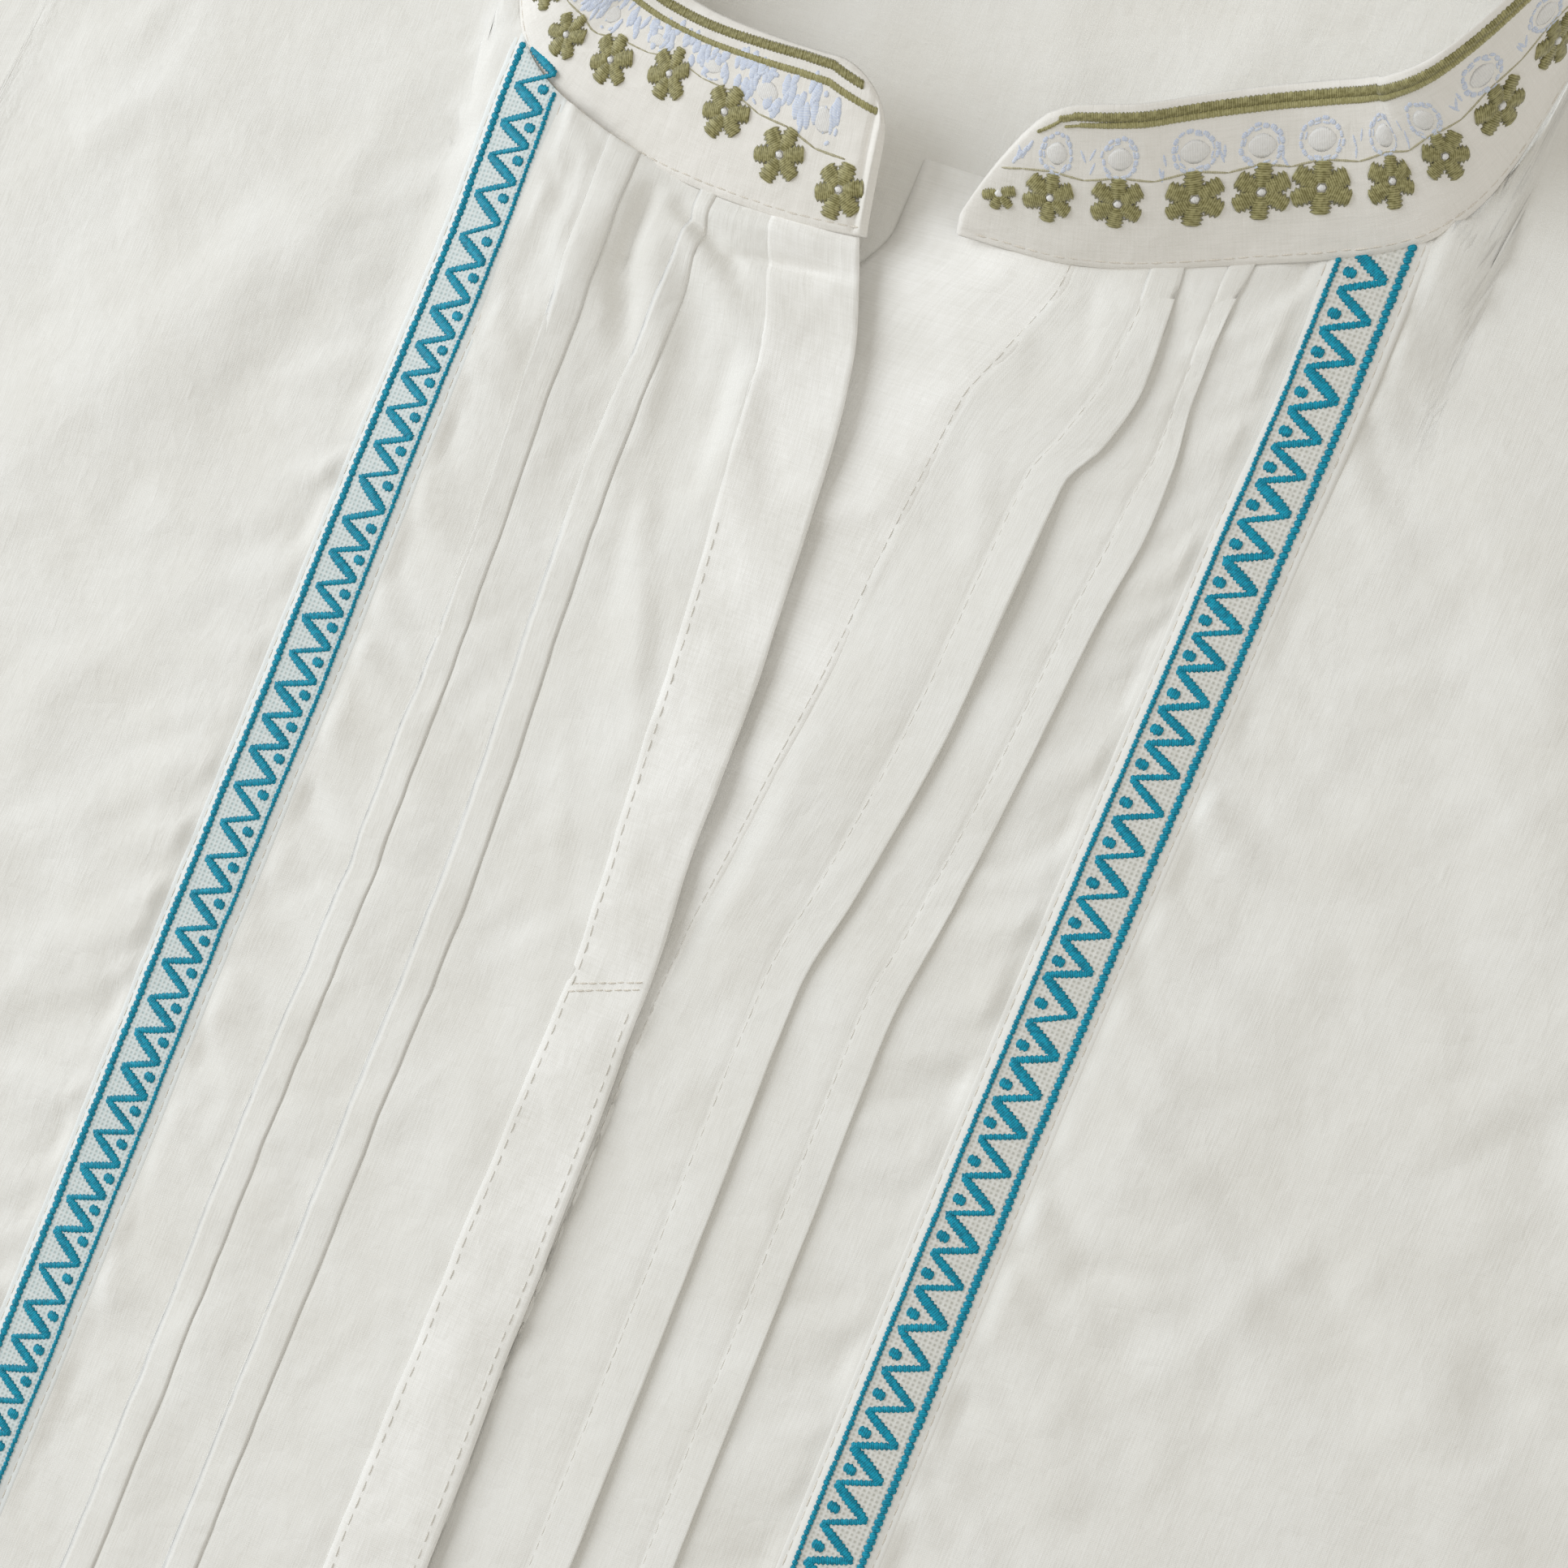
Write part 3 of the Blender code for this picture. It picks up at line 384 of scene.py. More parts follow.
def crumple(x, y, seed=0):
    """Small dents and short creases of washed, unironed cotton."""
    bend = 5.0 * field(x, y, 23.0, 11 + seed)
    bend2 = 5.0 * field(x + 40.0, y, 19.0, 12 + seed)
    x1, y1 = turned(x + bend, y + bend2, 31.0)
    x2, y2 = turned(x - bend2, y + bend, -24.0)
    x3, y3 = turned(x + bend2, y - bend, 78.0)
    soft = 0.62 * field(x1, y1 * 0.6, 21.0, 21 + seed)
    soft = soft + 0.30 * field(x2 * 0.7, y2, 10.0, 22 + seed)
    # sharp creases between flatter dents
    facet = 0.60 * np.abs(field(x1 * 0.6, y1, 13.0, 23 + seed))
    facet = facet - 0.52 * np.abs(field(x2, y2 * 0.55, 10.0, 24 + seed))
    facet = facet + 0.36 * np.abs(field(x3, y3 * 0.5, 7.0, 28 + seed))
    where = 0.45 + 0.55 * smooth(-0.5, 0.5, field(x, y, 34.0, 25 + seed))
    fine = 0.07 * field(x3 * 0.6, y3, 5.6, 27 + seed)
    fine = fine - 0.07 * np.abs(field(x1, y1 * 0.8, 5.0, 29 + seed))
    fine = fine + 0.06 * np.abs(field(x2 * 0.8, y2, 5.8, 31 + seed))
    return ROUGH * ((soft + facet) * where + fine)


def seam_pucker(distance, along, size, depth, reach, seed):
    """Little gathers that run off a line of stitches."""
    wave = field(along, distance * 0.25, size, seed)
    wave = wave + 0.6 * field(along, distance * 0.3, size * 0.55, seed + 1)
    return depth * wave * np.exp(-np.abs(distance) / reach)


def soft_max(a, b, blend=0.35):
    return 0.5 * (a + b + np.sqrt((a - b) ** 2 + blend * blend))


def roughness(side, reach, x, y, top):
    """Small wrinkles of a front, calmer under its trim and at the neck."""
    calm = 0.55 + 0.45 * smooth(0.0, 26.0, top - y)
    rough = crumple(x, y, 0 if side < 0 else 40) * calm
    # pucker along every line of stitches
    for line, depth in pucker_lines(side):
        rough = rough + seam_pucker(reach - line, y, 5.2, depth, 4.0,
                                    61 + int(line) + (0 if side < 0 else 7))
    for edge in (-1, 1):
        line = BAND[side] + edge * (TRIM_HALF + 0.6)
        off = edge * (reach - line)
        fan = seam_pucker(off, y + 0.5 * off, 8.0, 1.35, 12.0, 101 + edge)
        rough = rough + fan * smooth(-1.0, 2.0, off)
    on_trim = smooth(TRIM_HALF + 2.5, TRIM_HALF - 0.5,
                     np.abs(reach - BAND[side]))
    # outside the trims the cloth is more rumpled
    start = BAND[side] + TRIM_HALF + 3.0
    outside = smooth(start, start + 14.0, reach)
    rough = rough * (1.0 + (0.9 if side > 0 else 0.35) * outside)
    return rough * (1.0 - 0.62 * on_trim)


def front_top(side, reach, x, y, top):
    """Height of the upper face of a front, without its tucks."""
    inner = (1.0 - smooth(100.0, 155.0, np.abs(x))) * (1.0 - smooth(62.0, 98.0, y))
    rise = (NECK_RISE - 0.3) * inner * np.exp(-((top - y) / NECK_REACH) ** 2)
    centre = 0.0
    if side < 0:
        centre = (TOP_LOW - FRONT_LOW) * (1.0 - smooth(8.0, 34.0, reach))
    else:
        low = 1.0 - smooth(8.6, 20.0, reach)
        centre = -0.5 * low
    lift = back_lift(x, y) * 1.1
    base = FRONT_LOW + 0.25 + lift + soft_max(rise, centre, 0.8)
    # the left neck side is held up and falls away under the left trim
    if side < 0:
        held = smooth(-95.0, -20.0, y) * (1.0 - smooth(40.0, 80.0, y))
        base = base + 3.0 * held * (1.0 - smooth(76.0, 101.0, reach)) \
            * smooth(40.0, 74.0, reach)
    wave = ridges(FOLDS, x, y) + ridges(CREASES, x, y)
    side_line = smooth(0.0, 22.0, (HEM_HALF - 14.0) - np.abs(x))
    rough = roughness(side, reach, x, y, top)
    low_face = FRONT_LOW + lift
    z = soft_max(low_face, base + wave * np.maximum(side_line, 0.15), 0.4)
    return z + 0.75 + rough * np.maximum(side_line, 0.3)


def pucker_lines(side):
    lines = [(BAND[side] - TRIM_HALF - 0.6, 0.30),
             (BAND[side] + TRIM_HALF + 0.6, 0.42)]
    lines += [(a, 0.16) for _, a, _ in TUCKS[side]]
    lines.append((PLACKET_SEAM if side < 0 else UNDER_SEAM, 0.20))
    return lines


def edge_drop(z, distance, low, reach):
    """Bring z down to low at an edge."""
    return low + (z - low) * (1.0 - np.exp(-(np.maximum(distance, 0.0) / reach)
                                           ** 1.6))


# ---- mesh making ------------------------------------------------------------
def grid_normals(p):
    du = np.gradient(p, axis=0)
    dv = np.gradient(p, axis=1)
    n = np.cross(du, dv)
    size = np.linalg.norm(n, axis=2, keepdims=True)
    n = n / np.maximum(size, 1e-9)
    return n


def finish_mesh(name, verts, quads, material, cloth=None, tris=None,
                sharp=72.0):
    faces = [tuple(int(i) for i in q) for q in quads]
    if tris is not None:
        faces += [tuple(int(i) for i in t) for t in tris]
    mesh = bpy.data.meshes.new(name)
    mesh.from_pydata([tuple(v) for v in world(verts)], [], faces)
    mesh.update()
    mesh.polygons.foreach_set("use_smooth", [True] * len(mesh.polygons))
    if cloth is not None:
        mark = mesh.attributes.new("cloth", "FLOAT_VECTOR", "POINT")
        mark.data.foreach_set("vector", np.asarray(cloth, np.float32).ravel())
    if sharp:
        mesh.set_sharp_from_angle(angle=math.radians(sharp))
    mesh.materials.append(material)
    obj = bpy.data.objects.new(name, mesh)
    bpy.context.scene.collection.objects.link(obj)
    return obj


def quads_of(nc, nr, index):
    c, r = np.meshgrid(np.arange(nc - 1), np.arange(nr - 1), indexing="ij")
    c, r = c.ravel(), r.ravel()
    return np.stack([index(c, r), index(c + 1, r), index(c + 1, r + 1),
                     index(c, r + 1)], axis=1)


def shell(name, top, uv, thick, material, low=None, sharp=72.0):
    """Closed thin sheet: top is [column][row] of points of its upper face."""
    nc, nr = top.shape[:2]
    n = grid_normals(top)
    if n[..., 2].mean() < 0 and low is None:
        top, uv = top[::-1], uv[::-1]
        n = -n[::-1]
    bottom = top - n * thick if low is None else low(top, n)
    mid = 0.5 * (top + bottom)
    base = nc * nr
    rim = ([(c, 0) for c in range(nc)]
           + [(nc - 1, r) for r in range(1, nr)]
           + [(c, nr - 1) for c in range(nc - 2, -1, -1)]
           + [(0, r) for r in range(nr - 2, 0, -1)])
    rim = np.array(rim)
    side_out = []
    for c, r in rim:
        inner = mid[min(max(c, 1), nc - 2), min(max(r, 1), nr - 2)]
        d = mid[c, r] - inner
        size = np.linalg.norm(d)
        side_out.append(mid[c, r] + d / max(size, 1e-9) * thick * 0.35)
    verts = np.concatenate([top.reshape(-1, 3), bottom.reshape(-1, 3),
                            np.array(side_out)])
    upper = quads_of(nc, nr, lambda c, r: c * nr + r)
    lower = quads_of(nc, nr, lambda c, r: base + c * nr + r)[:, ::-1]
    k = np.arange(len(rim))
    k2 = (k + 1) % len(rim)
    a = rim[k, 0] * nr + rim[k, 1]
    b = rim[k2, 0] * nr + rim[k2, 1]
    s, s2 = 2 * base + k, 2 * base + k2
    wall = np.concatenate([np.stack([s, s2, b, a], 1),
                           np.stack([base + a, base + b, s2, s], 1)])
    cloth = np.concatenate([uv.reshape(-1, 3), uv.reshape(-1, 3),
                            uv[rim[:, 0], rim[:, 1]]])
    return finish_mesh(name, verts, np.concatenate([upper, lower, wall]),
                       material, cloth, sharp=sharp)


def cloth_uv(points):
    """Lengths along the cloth from the first column and the hem, in mm."""
    step = np.linalg.norm(np.diff(points, axis=0), axis=2).mean(axis=1)
    u = np.concatenate([[0.0], np.cumsum(step)])
    v = points[..., 1]
    out = np.zeros(points.shape)
    out[..., 0] = u[:, None]
    out[..., 1] = v
    return out


# ---- materials --------------------------------------------------------------
def nodes_of(name):
    mat = bpy.data.materials.new(name)
    mat.use_nodes = True
    tree = mat.node_tree
    return mat, tree, tree.nodes["Principled BSDF"]


def cloth_material(name, colour, shade, weave=0.46, slub=1.0, rough=0.86,
                   sheen=0.25, grain=1.0):
    """Plain-woven cotton: threads, slubs and a faint change of tone."""
    mat, tree, shader = nodes_of(name)
    new = tree.nodes.new
    link = tree.links.new
    place = new("ShaderNodeAttribute")
    place.attribute_name = "cloth"
    apart = new("ShaderNodeSeparateXYZ")
    link(place.outputs["Vector"], apart.inputs[0])

    def math_node(kind, a, b=None):
        node = new("ShaderNodeMath")
        node.operation = kind
        for i, v in enumerate((a, b)):
            if v is None:
                continue
            if isinstance(v, (int, float)):
                node.inputs[i].default_value = v
            else:
                link(v, node.inputs[i])
        return node.outputs[0]

    def noise(scale, detail=2.0, stretch=None):
        node = new("ShaderNodeTexNoise")
        node.inputs["Scale"].default_value = scale
        node.inputs["Detail"].default_value = detail
        if stretch:
            mapping = new("ShaderNodeMapping")
            mapping.inputs["Scale"].default_value = stretch
            link(place.outputs["Vector"], mapping.inputs["Vector"])
            link(mapping.outputs[0], node.inputs["Vector"])
        else:
            link(place.outputs["Vector"], node.inputs["Vector"])
        return node.outputs["Fac"]

    wobble = math_node("MULTIPLY", noise(0.35), 0.9)
    u = math_node("ADD", apart.outputs[0], wobble)
    v = math_node("ADD", apart.outputs[1], wobble)
    turn = 2.0 * math.pi / weave
    warp = math_node("SINE", math_node("MULTIPLY", u, turn))
    weft = math_node("SINE", math_node("MULTIPLY", v, turn))
    threads = math_node("MULTIPLY", warp, weft)
    slub_u = noise(1.0, 3.0, (2.4, 0.16, 1.0))
    slub_v = noise(1.0, 3.0, (0.16, 2.4, 1.0))
    slubs = math_node("ADD", slub_u, slub_v)
    height = math_node("ADD", math_node("MULTIPLY", threads, 0.10 * grain),
                       math_node("MULTIPLY", slubs, 0.85 * slub))
    bump = new("ShaderNodeBump")
    bump.inputs["Strength"].default_value = 0.34
    bump.inputs["Distance"].default_value = 0.0003
    link(height, bump.inputs["Height"])

    def wrinkle(scale, stretch):
        fold = math_node("ABSOLUTE", math_node(
            "SUBTRACT", noise(scale, 2.0, stretch), 0.5))
        return fold
    crease = math_node("ADD", wrinkle(1.0, (0.07, 0.13, 1.0)),
                       math_node("MULTIPLY", wrinkle(1.0, (0.17, 0.10, 1.0)),
                                 -0.55))
    small = new("ShaderNodeBump")
    small.inputs["Strength"].default_value = 0.38
    small.inputs["Distance"].default_value = 0.0016
    link(crease, small.inputs["Height"])
    link(small.outputs[0], bump.inputs["Normal"])
    link(bump.outputs[0], shader.inputs["Normal"])

    ramp = new("ShaderNodeValToRGB")
    ramp.color_ramp.elements[0].position = 0.32
    ramp.color_ramp.elements[0].color = (*shade, 1.0)
    ramp.color_ramp.elements[1].position = 0.62
    ramp.color_ramp.elements[1].color = (*colour, 1.0)
    tone = math_node("ADD", math_node("MULTIPLY", noise(0.045, 3.0), 0.55),
                     math_node("MULTIPLY", slubs, 0.225))
    link(tone, ramp.inputs["Fac"])
    link(ramp.outputs[0], shader.inputs["Base Color"])
    worn = math_node("MULTIPLY", noise(0.2, 3.0), 0.10)
    link(math_node("ADD", worn, rough - 0.05), shader.inputs["Roughness"])
    shader.inputs["Sheen Weight"].default_value = sheen
    shader.inputs["Sheen Roughness"].default_value = 0.5
    shader.inputs["Specular IOR Level"].default_value = 0.18
    return mat


def thread_material(name, dark, light, rough=0.5, sheen=0.35, pitch=0.42,
                    spec=0.35):
    """Embroidery floss: fine strands across the stitch. Its colour is lighter on the
    strands' crests and in random spots, partly uneven dye and partly painted highlight.
    """
    mat, tree, shader = nodes_of(name)
    new = tree.nodes.new
    link = tree.links.new
    place = new("ShaderNodeAttribute")
    place.attribute_name = "cloth"
    apart = new("ShaderNodeSeparateXYZ")
    link(place.outputs["Vector"], apart.inputs[0])
    strand = new("ShaderNodeMath")
    strand.operation = "MULTIPLY"
    link(apart.outputs[0], strand.inputs[0])
    strand.inputs[1].default_value = 2.0 * math.pi / pitch
    wave = new("ShaderNodeMath")
    wave.operation = "SINE"
    link(strand.outputs[0], wave.inputs[0])
    spots = new("ShaderNodeTexNoise")
    spots.inputs["Scale"].default_value = 1.1
    spots.inputs["Detail"].default_value = 3.0
    link(place.outputs["Vector"], spots.inputs["Vector"])
    # painted highlight: the strand crests that the bump raises are coloured lighter; the
    # spots are partly uneven dye, partly painted highlight
    mix = new("ShaderNodeMath")
    mix.operation = "MULTIPLY_ADD"
    link(wave.outputs[0], mix.inputs[0])
    mix.inputs[1].default_value = 0.14
    link(spots.outputs["Fac"], mix.inputs[2])
    ramp = new("ShaderNodeValToRGB")
    ramp.color_ramp.elements[0].position = 0.30
    ramp.color_ramp.elements[0].color = (*dark, 1.0)
    ramp.color_ramp.elements[1].position = 0.72
    ramp.color_ramp.elements[1].color = (*light, 1.0)
    link(mix.outputs[0], ramp.inputs["Fac"])
    link(ramp.outputs[0], shader.inputs["Base Color"])
    bump = new("ShaderNodeBump")
    bump.inputs["Strength"].default_value = 0.5
    bump.inputs["Distance"].default_value = 0.0002
    link(mix.outputs[0], bump.inputs["Height"])
    link(bump.outputs[0], shader.inputs["Normal"])
    shader.inputs["Roughness"].default_value = rough
    shader.inputs["Sheen Weight"].default_value = sheen
    shader.inputs["Specular IOR Level"].default_value = spec
    return mat


def canvas_material(name, colour, shade):
    """Open ribbed ground of the woven trim, with plain selvedges."""
    mat, tree, shader = nodes_of(name)
    new = tree.nodes.new
    link = tree.links.new
    place = new("ShaderNodeAttribute")
    place.attribute_name = "cloth"
    apart = new("ShaderNodeSeparateXYZ")
    link(place.outputs["Vector"], apart.inputs[0])

    def m(kind, a, b=None, c=None):
        node = new("ShaderNodeMath")
        node.operation = kind
        for i, v in enumerate((a, b, c)):
            if v is None:
                continue
            if isinstance(v, (int, float)):
                node.inputs[i].default_value = v
            else:
                link(v, node.inputs[i])
        return node.outputs[0]

    ribs = m("SINE", m("MULTIPLY", apart.outputs[1], 2 * math.pi / 0.92))
    picks = m("SINE", m("MULTIPLY", apart.outputs[0], 2 * math.pi / 0.95))
    spots = new("ShaderNodeTexNoise")
    spots.inputs["Scale"].default_value = 0.9
    spots.inputs["Detail"].default_value = 3.0
    link(place.outputs["Vector"], spots.inputs["Vector"])
    # the canvas lies between the borders, the selvedges are plain
    inside = m("LESS_THAN", m("ABSOLUTE", apart.outputs[0]), BORDER)
    # painted shade: the holes of the open weave are coloured darker, where shade falls
    # into them; the spots give a random darker tone
    holes = m("MULTIPLY", m("MULTIPLY", m("ADD", ribs, 1.0),
                            m("ADD", picks, 1.0)), 0.25)
    tone = m("SUBTRACT", 1.0, m("MULTIPLY", inside,
                                m("MULTIPLY_ADD", holes, 0.42,
                                  m("MULTIPLY", spots.outputs["Fac"], 0.62))))
    ramp = new("ShaderNodeValToRGB")
    ramp.color_ramp.elements[0].position = 0.25
    ramp.color_ramp.elements[0].color = (*shade, 1.0)
    ramp.color_ramp.elements[1].position = 0.95
    ramp.color_ramp.elements[1].color = (*colour, 1.0)
    link(tone, ramp.inputs["Fac"])
    link(ramp.outputs[0], shader.inputs["Base Color"])
    height = m("MULTIPLY", inside, m("MULTIPLY_ADD", holes, -1.0,
                                     m("MULTIPLY", ribs, 0.3)))
    bump = new("ShaderNodeBump")
    bump.inputs["Strength"].default_value = 0.55
    bump.inputs["Distance"].default_value = 0.00025
    link(height, bump.inputs["Height"])
    link(bump.outputs[0], shader.inputs["Normal"])
    shader.inputs["Roughness"].default_value = 0.85
    shader.inputs["Sheen Weight"].default_value = 0.2
    shader.inputs["Specular IOR Level"].default_value = 0.15
    return mat


def rgb(r, g, b):
    """Screen colour, 0 to 255, to linear."""
    out = []
    for v in (r, g, b):
        v = v / 255.0
        out.append(v / 12.92 if v <= 0.04045 else ((v + 0.055) / 1.055) ** 2.4)
    return tuple(out)


COTTON = cloth_material("cotton_cloth", rgb(240, 239, 235), rgb(233, 231, 225))
# painted light: the placket is coloured lighter than the cotton to make up for the shade
# it gets from sloping away from the key lamp
PLACKET = cloth_material("placket_cloth", rgb(252, 251, 248),
                         rgb(233, 231, 225), slub=0.8)
COLLAR = cloth_material("collar_cloth", rgb(247, 244, 239),
                        rgb(233, 230, 223), slub=0.8)
CANVAS = canvas_material("woven_trim_ground", rgb(238, 237, 233),
                         rgb(196, 195, 186))
CANVAS_LEFT = canvas_material("woven_trim_ground_left", rgb(236, 239, 238),
                              rgb(188, 205, 206))
TEAL = thread_material("trim_teal", rgb(0, 112, 138), rgb(14, 166, 196),
                       sheen=0.08, spec=0.25)
OLIVE = thread_material("embroidery_olive", rgb(112, 106, 58),
                        rgb(178, 172, 122))
OLIVE_PALE = thread_material("embroidery_olive_pale", rgb(138, 132, 82),
                             rgb(184, 178, 128))
STEM = thread_material("embroidery_stem", rgb(166, 160, 128),
                       rgb(200, 194, 168))
SKY = thread_material("embroidery_blue", rgb(204, 214, 236),
                      rgb(226, 232, 243), rough=0.75, spec=0.15)
WHITE_FLOSS = thread_material("embroidery_white", rgb(232, 231, 229),
                              rgb(241, 240, 238), rough=0.85, spec=0.12)
SEWING = thread_material("sewing_thread", rgb(238, 235, 228),
                         rgb(238, 235, 228), pitch=0.5, spec=0.2)
SEWING_PALE = thread_material("sewing_thread_pale", rgb(228, 220, 207),
                              rgb(238, 233, 224), pitch=0.5, spec=0.2)


# ---- fronts -----------------------------------------------------------------
_tuck_ends = {}


def tuck_fade(name, y, low):
    """Tucks are pressed flat where they go under the collar."""
    if name not in _tuck_ends:
        for side in (-1, 1):
            for n, a, b in TUCKS[side]:
                _tuck_ends[n] = float(top_of_line(side, 0.5 * (a + b)))
    near, far = {"fold_b": (24.0, 84.0), "fold_a": (8.0, 44.0)}.get(
        name, (1.0, 11.0))
    return low + (1.0 - low) * smooth(near, far, _tuck_ends[name] - y)


def tuck_lift(name, y):
    """Stand-off of a folded edge, with a slight waver along it."""
    seed = 71 + len(name) + ord(name[-1]) % 7
    waver = 1.0 + 0.22 * field(y, y * 0.0, 17.0, seed)
    return read(LIFTS, "y", y, name) * waver * tuck_fade(name, y, 0.1)


def tuck_foot(name, y):
    """Height of the cloth where the tuck is sewn: three layers meet there."""
    layers = 0.7 if name in ("fold_a", "fold_b") else 1.5
    low = 0.06 if name == "fold_b" else 0.3
    return layers * THIN * tuck_fade(name, y, low) + 0.2 * tuck_lift(name, y)


def tuck_top(name, t, y):
    """Upper layer of a tuck above the cloth below it; t runs stitch to fold."""
    lift = tuck_lift(name, y)
    rest = 0.8 * lift
    crown = 0.85 * t + 0.10 * np.sin(np.pi * t) + 0.15 * t * t
    groove = 0.13 * np.exp(-((t - 0.06) / 0.05) ** 2)
    return tuck_foot(name, y) + rest * crown - groove


def tuck_columns(name, a, b):
    """Columns across one tuck: (reach, height above the base, as a function)."""
    cols = []
    for t in (0.0, 0.06, 0.12, 0.2, 0.30, 0.42, 0.55, 0.70, 0.84, 0.94, 1.0):
        cols.append((lambda y, t=t: a + (b - a) * t,
                     lambda y, t=t: tuck_top(name, t, y)))

    def radius(y):
        r = np.clip(0.12 + 0.16 * tuck_lift(name, y), 0.12, 0.45)
        return np.minimum(r, 0.45 * tuck_top(name, 1.0, y) + 0.01)

    for turn in (58.0, 20.0, -20.0, -58.0):
        c, s = math.cos(math.radians(turn)), math.sin(math.radians(turn))
        cols.append((lambda y, c=c: b + radius(y) * c,
                     lambda y, s=s: tuck_top(name, 1.0, y) - radius(y)
                     + radius(y) * s))
    for t in (1.0, 0.8, 0.55, 0.32, 0.14):
        cols.append((lambda y, t=t: a + (b - a) * t,
                     lambda y, t=t: np.minimum(np.maximum(
                         tuck_top(name, t, y) - 2 * radius(y) - 0.5 * THIN * t,
                         0.35 * THIN), tuck_top(name, t, y) - 0.05)))
    cols.append((lambda y: a + 0.35, lambda y: np.minimum(
        0.2 * THIN, tuck_top(name, 0.05, y) - 0.1)))
    for t in (0.12, 0.34, 0.6, 0.85):
        cols.append((lambda y, t=t: a + (b - a) * t, lambda y, t=t: np.minimum(
            0.0, tuck_top(name, t, y) - 0.15)))
    return cols


def plain_columns(a, b, step, before=None):
    """Even columns; before names the tuck that the cloth rises to."""
    n = max(1, int(round((b - a) / step)))
    cols = []
    for k in range(n):
        r = a + (b - a) * k / n
        ramp = float(smooth(b - 12.0, b, r)) if before else 0.0
        cols.append((lambda y, r=r: r + 0.0 * y,
                     lambda y, w=ramp: w * tuck_foot(before, y) if before
                     else 0.0 * y))
    return cols


def level_rows():
    """Heights of the level rows, close together where it shows."""
    y, out = HEM_Y, []
    while y < LEVEL:
        out.append(y)
        y += 7.5 if y < -300.0 else 2.1
    return np.array(out)


LEVEL = 9.0             # above this the rows close up to the top edge
TOP_ROWS = 22
LEVELS = level_rows()


def rows_to(top):
    """Heights of all rows on a line that ends at the height top."""
    level = min(LEVEL, top - 12.0)
    low = HEM_Y + (LEVELS - HEM_Y) * (level - HEM_Y) / (LEVEL - HEM_Y)
    return np.concatenate([low, np.linspace(level, top, TOP_ROWS)])


def armhole_points(count):
    xs, ys = ARMHOLE["x"], ARMHOLE["y"]
    marks = np.concatenate([[0.0], np.cumsum(np.hypot(np.diff(xs),
                                                      np.diff(ys)))])
    at = np.linspace(0.0, marks[-1], count)
    return np.interp(at, marks, xs), np.interp(at, marks, ys)


def front_surface(side):
    """Upper face of a front, tucks folded over, [column][row]."""
    tucks = TUCKS[side]
    start = (PLACKET_SEAM if side < 0 else UNDER_SEAM) - 0.9
    cols, at = [], start
    for name, a, b in tucks:
        cols += plain_columns(at, a, 1.35, name)
        cols += tuck_columns(name, a, b)
        at = b
    cols += plain_columns(at, NECK_SIDE_X, 1.35)
    points = []
    for reach_of, extra in cols:
        mean = float(np.mean(reach_of(np.zeros(1))))
        top = float(top_of_line(side, mean)) + 1.0
        y = rows_to(top)
        reach = reach_of(y)
        x = side * reach + laid_shift(side, reach, y)
        z = front_top(side, reach, x, y, top - 1.3) + extra(y)
        points.append(np.stack([x, y, z], axis=1))
    # shoulder and armhole: the lines fan out evenly at the hem
    xs = np.linspace(NECK_SIDE_X + 0.6, TIP_X, 38)
    tops = [(x, float(shoulder_y(x))) for x in xs]
    ax, ay = armhole_points(34)
    tops += list(zip(ax[1:], ay[1:]))
    hems = np.linspace(NECK_SIDE_X + 1.2, HEM_HALF, len(tops))
    for (tx, ty), hx in zip(tops, hems):
        y = rows_to(ty)
        t = (ty - y) / (ty - HEM_Y)
        # straight side seam, so only the inner lines bow
        x = tx + (hx - tx) * t
        z = front_top(side, x, side * x, y, ty)
        side_x = ARMPIT_X + (HEM_HALF - ARMPIT_X) * (ARMPIT_Y - y) \
            / (ARMPIT_Y - HEM_Y)
        z = edge_drop(z, np.where(y < ARMPIT_Y, side_x - x, 99.0), 0.9, 3.4)
        if tx <= TIP_X:
            z = edge_drop(z, ty - y + 0.35, 0.9 + back_lift(side * x, y), 2.4)
        points.append(np.stack([side * x, y, z], axis=1))
    return np.array(points)


def build_front(side):
    name = "front_left" if side < 0 else "front_right"
    top = front_surface(side)
    uv = cloth_uv(top)
    obj = shell(name + "_cloth", top, uv, THIN, COTTON, sharp=0)
    return obj, top


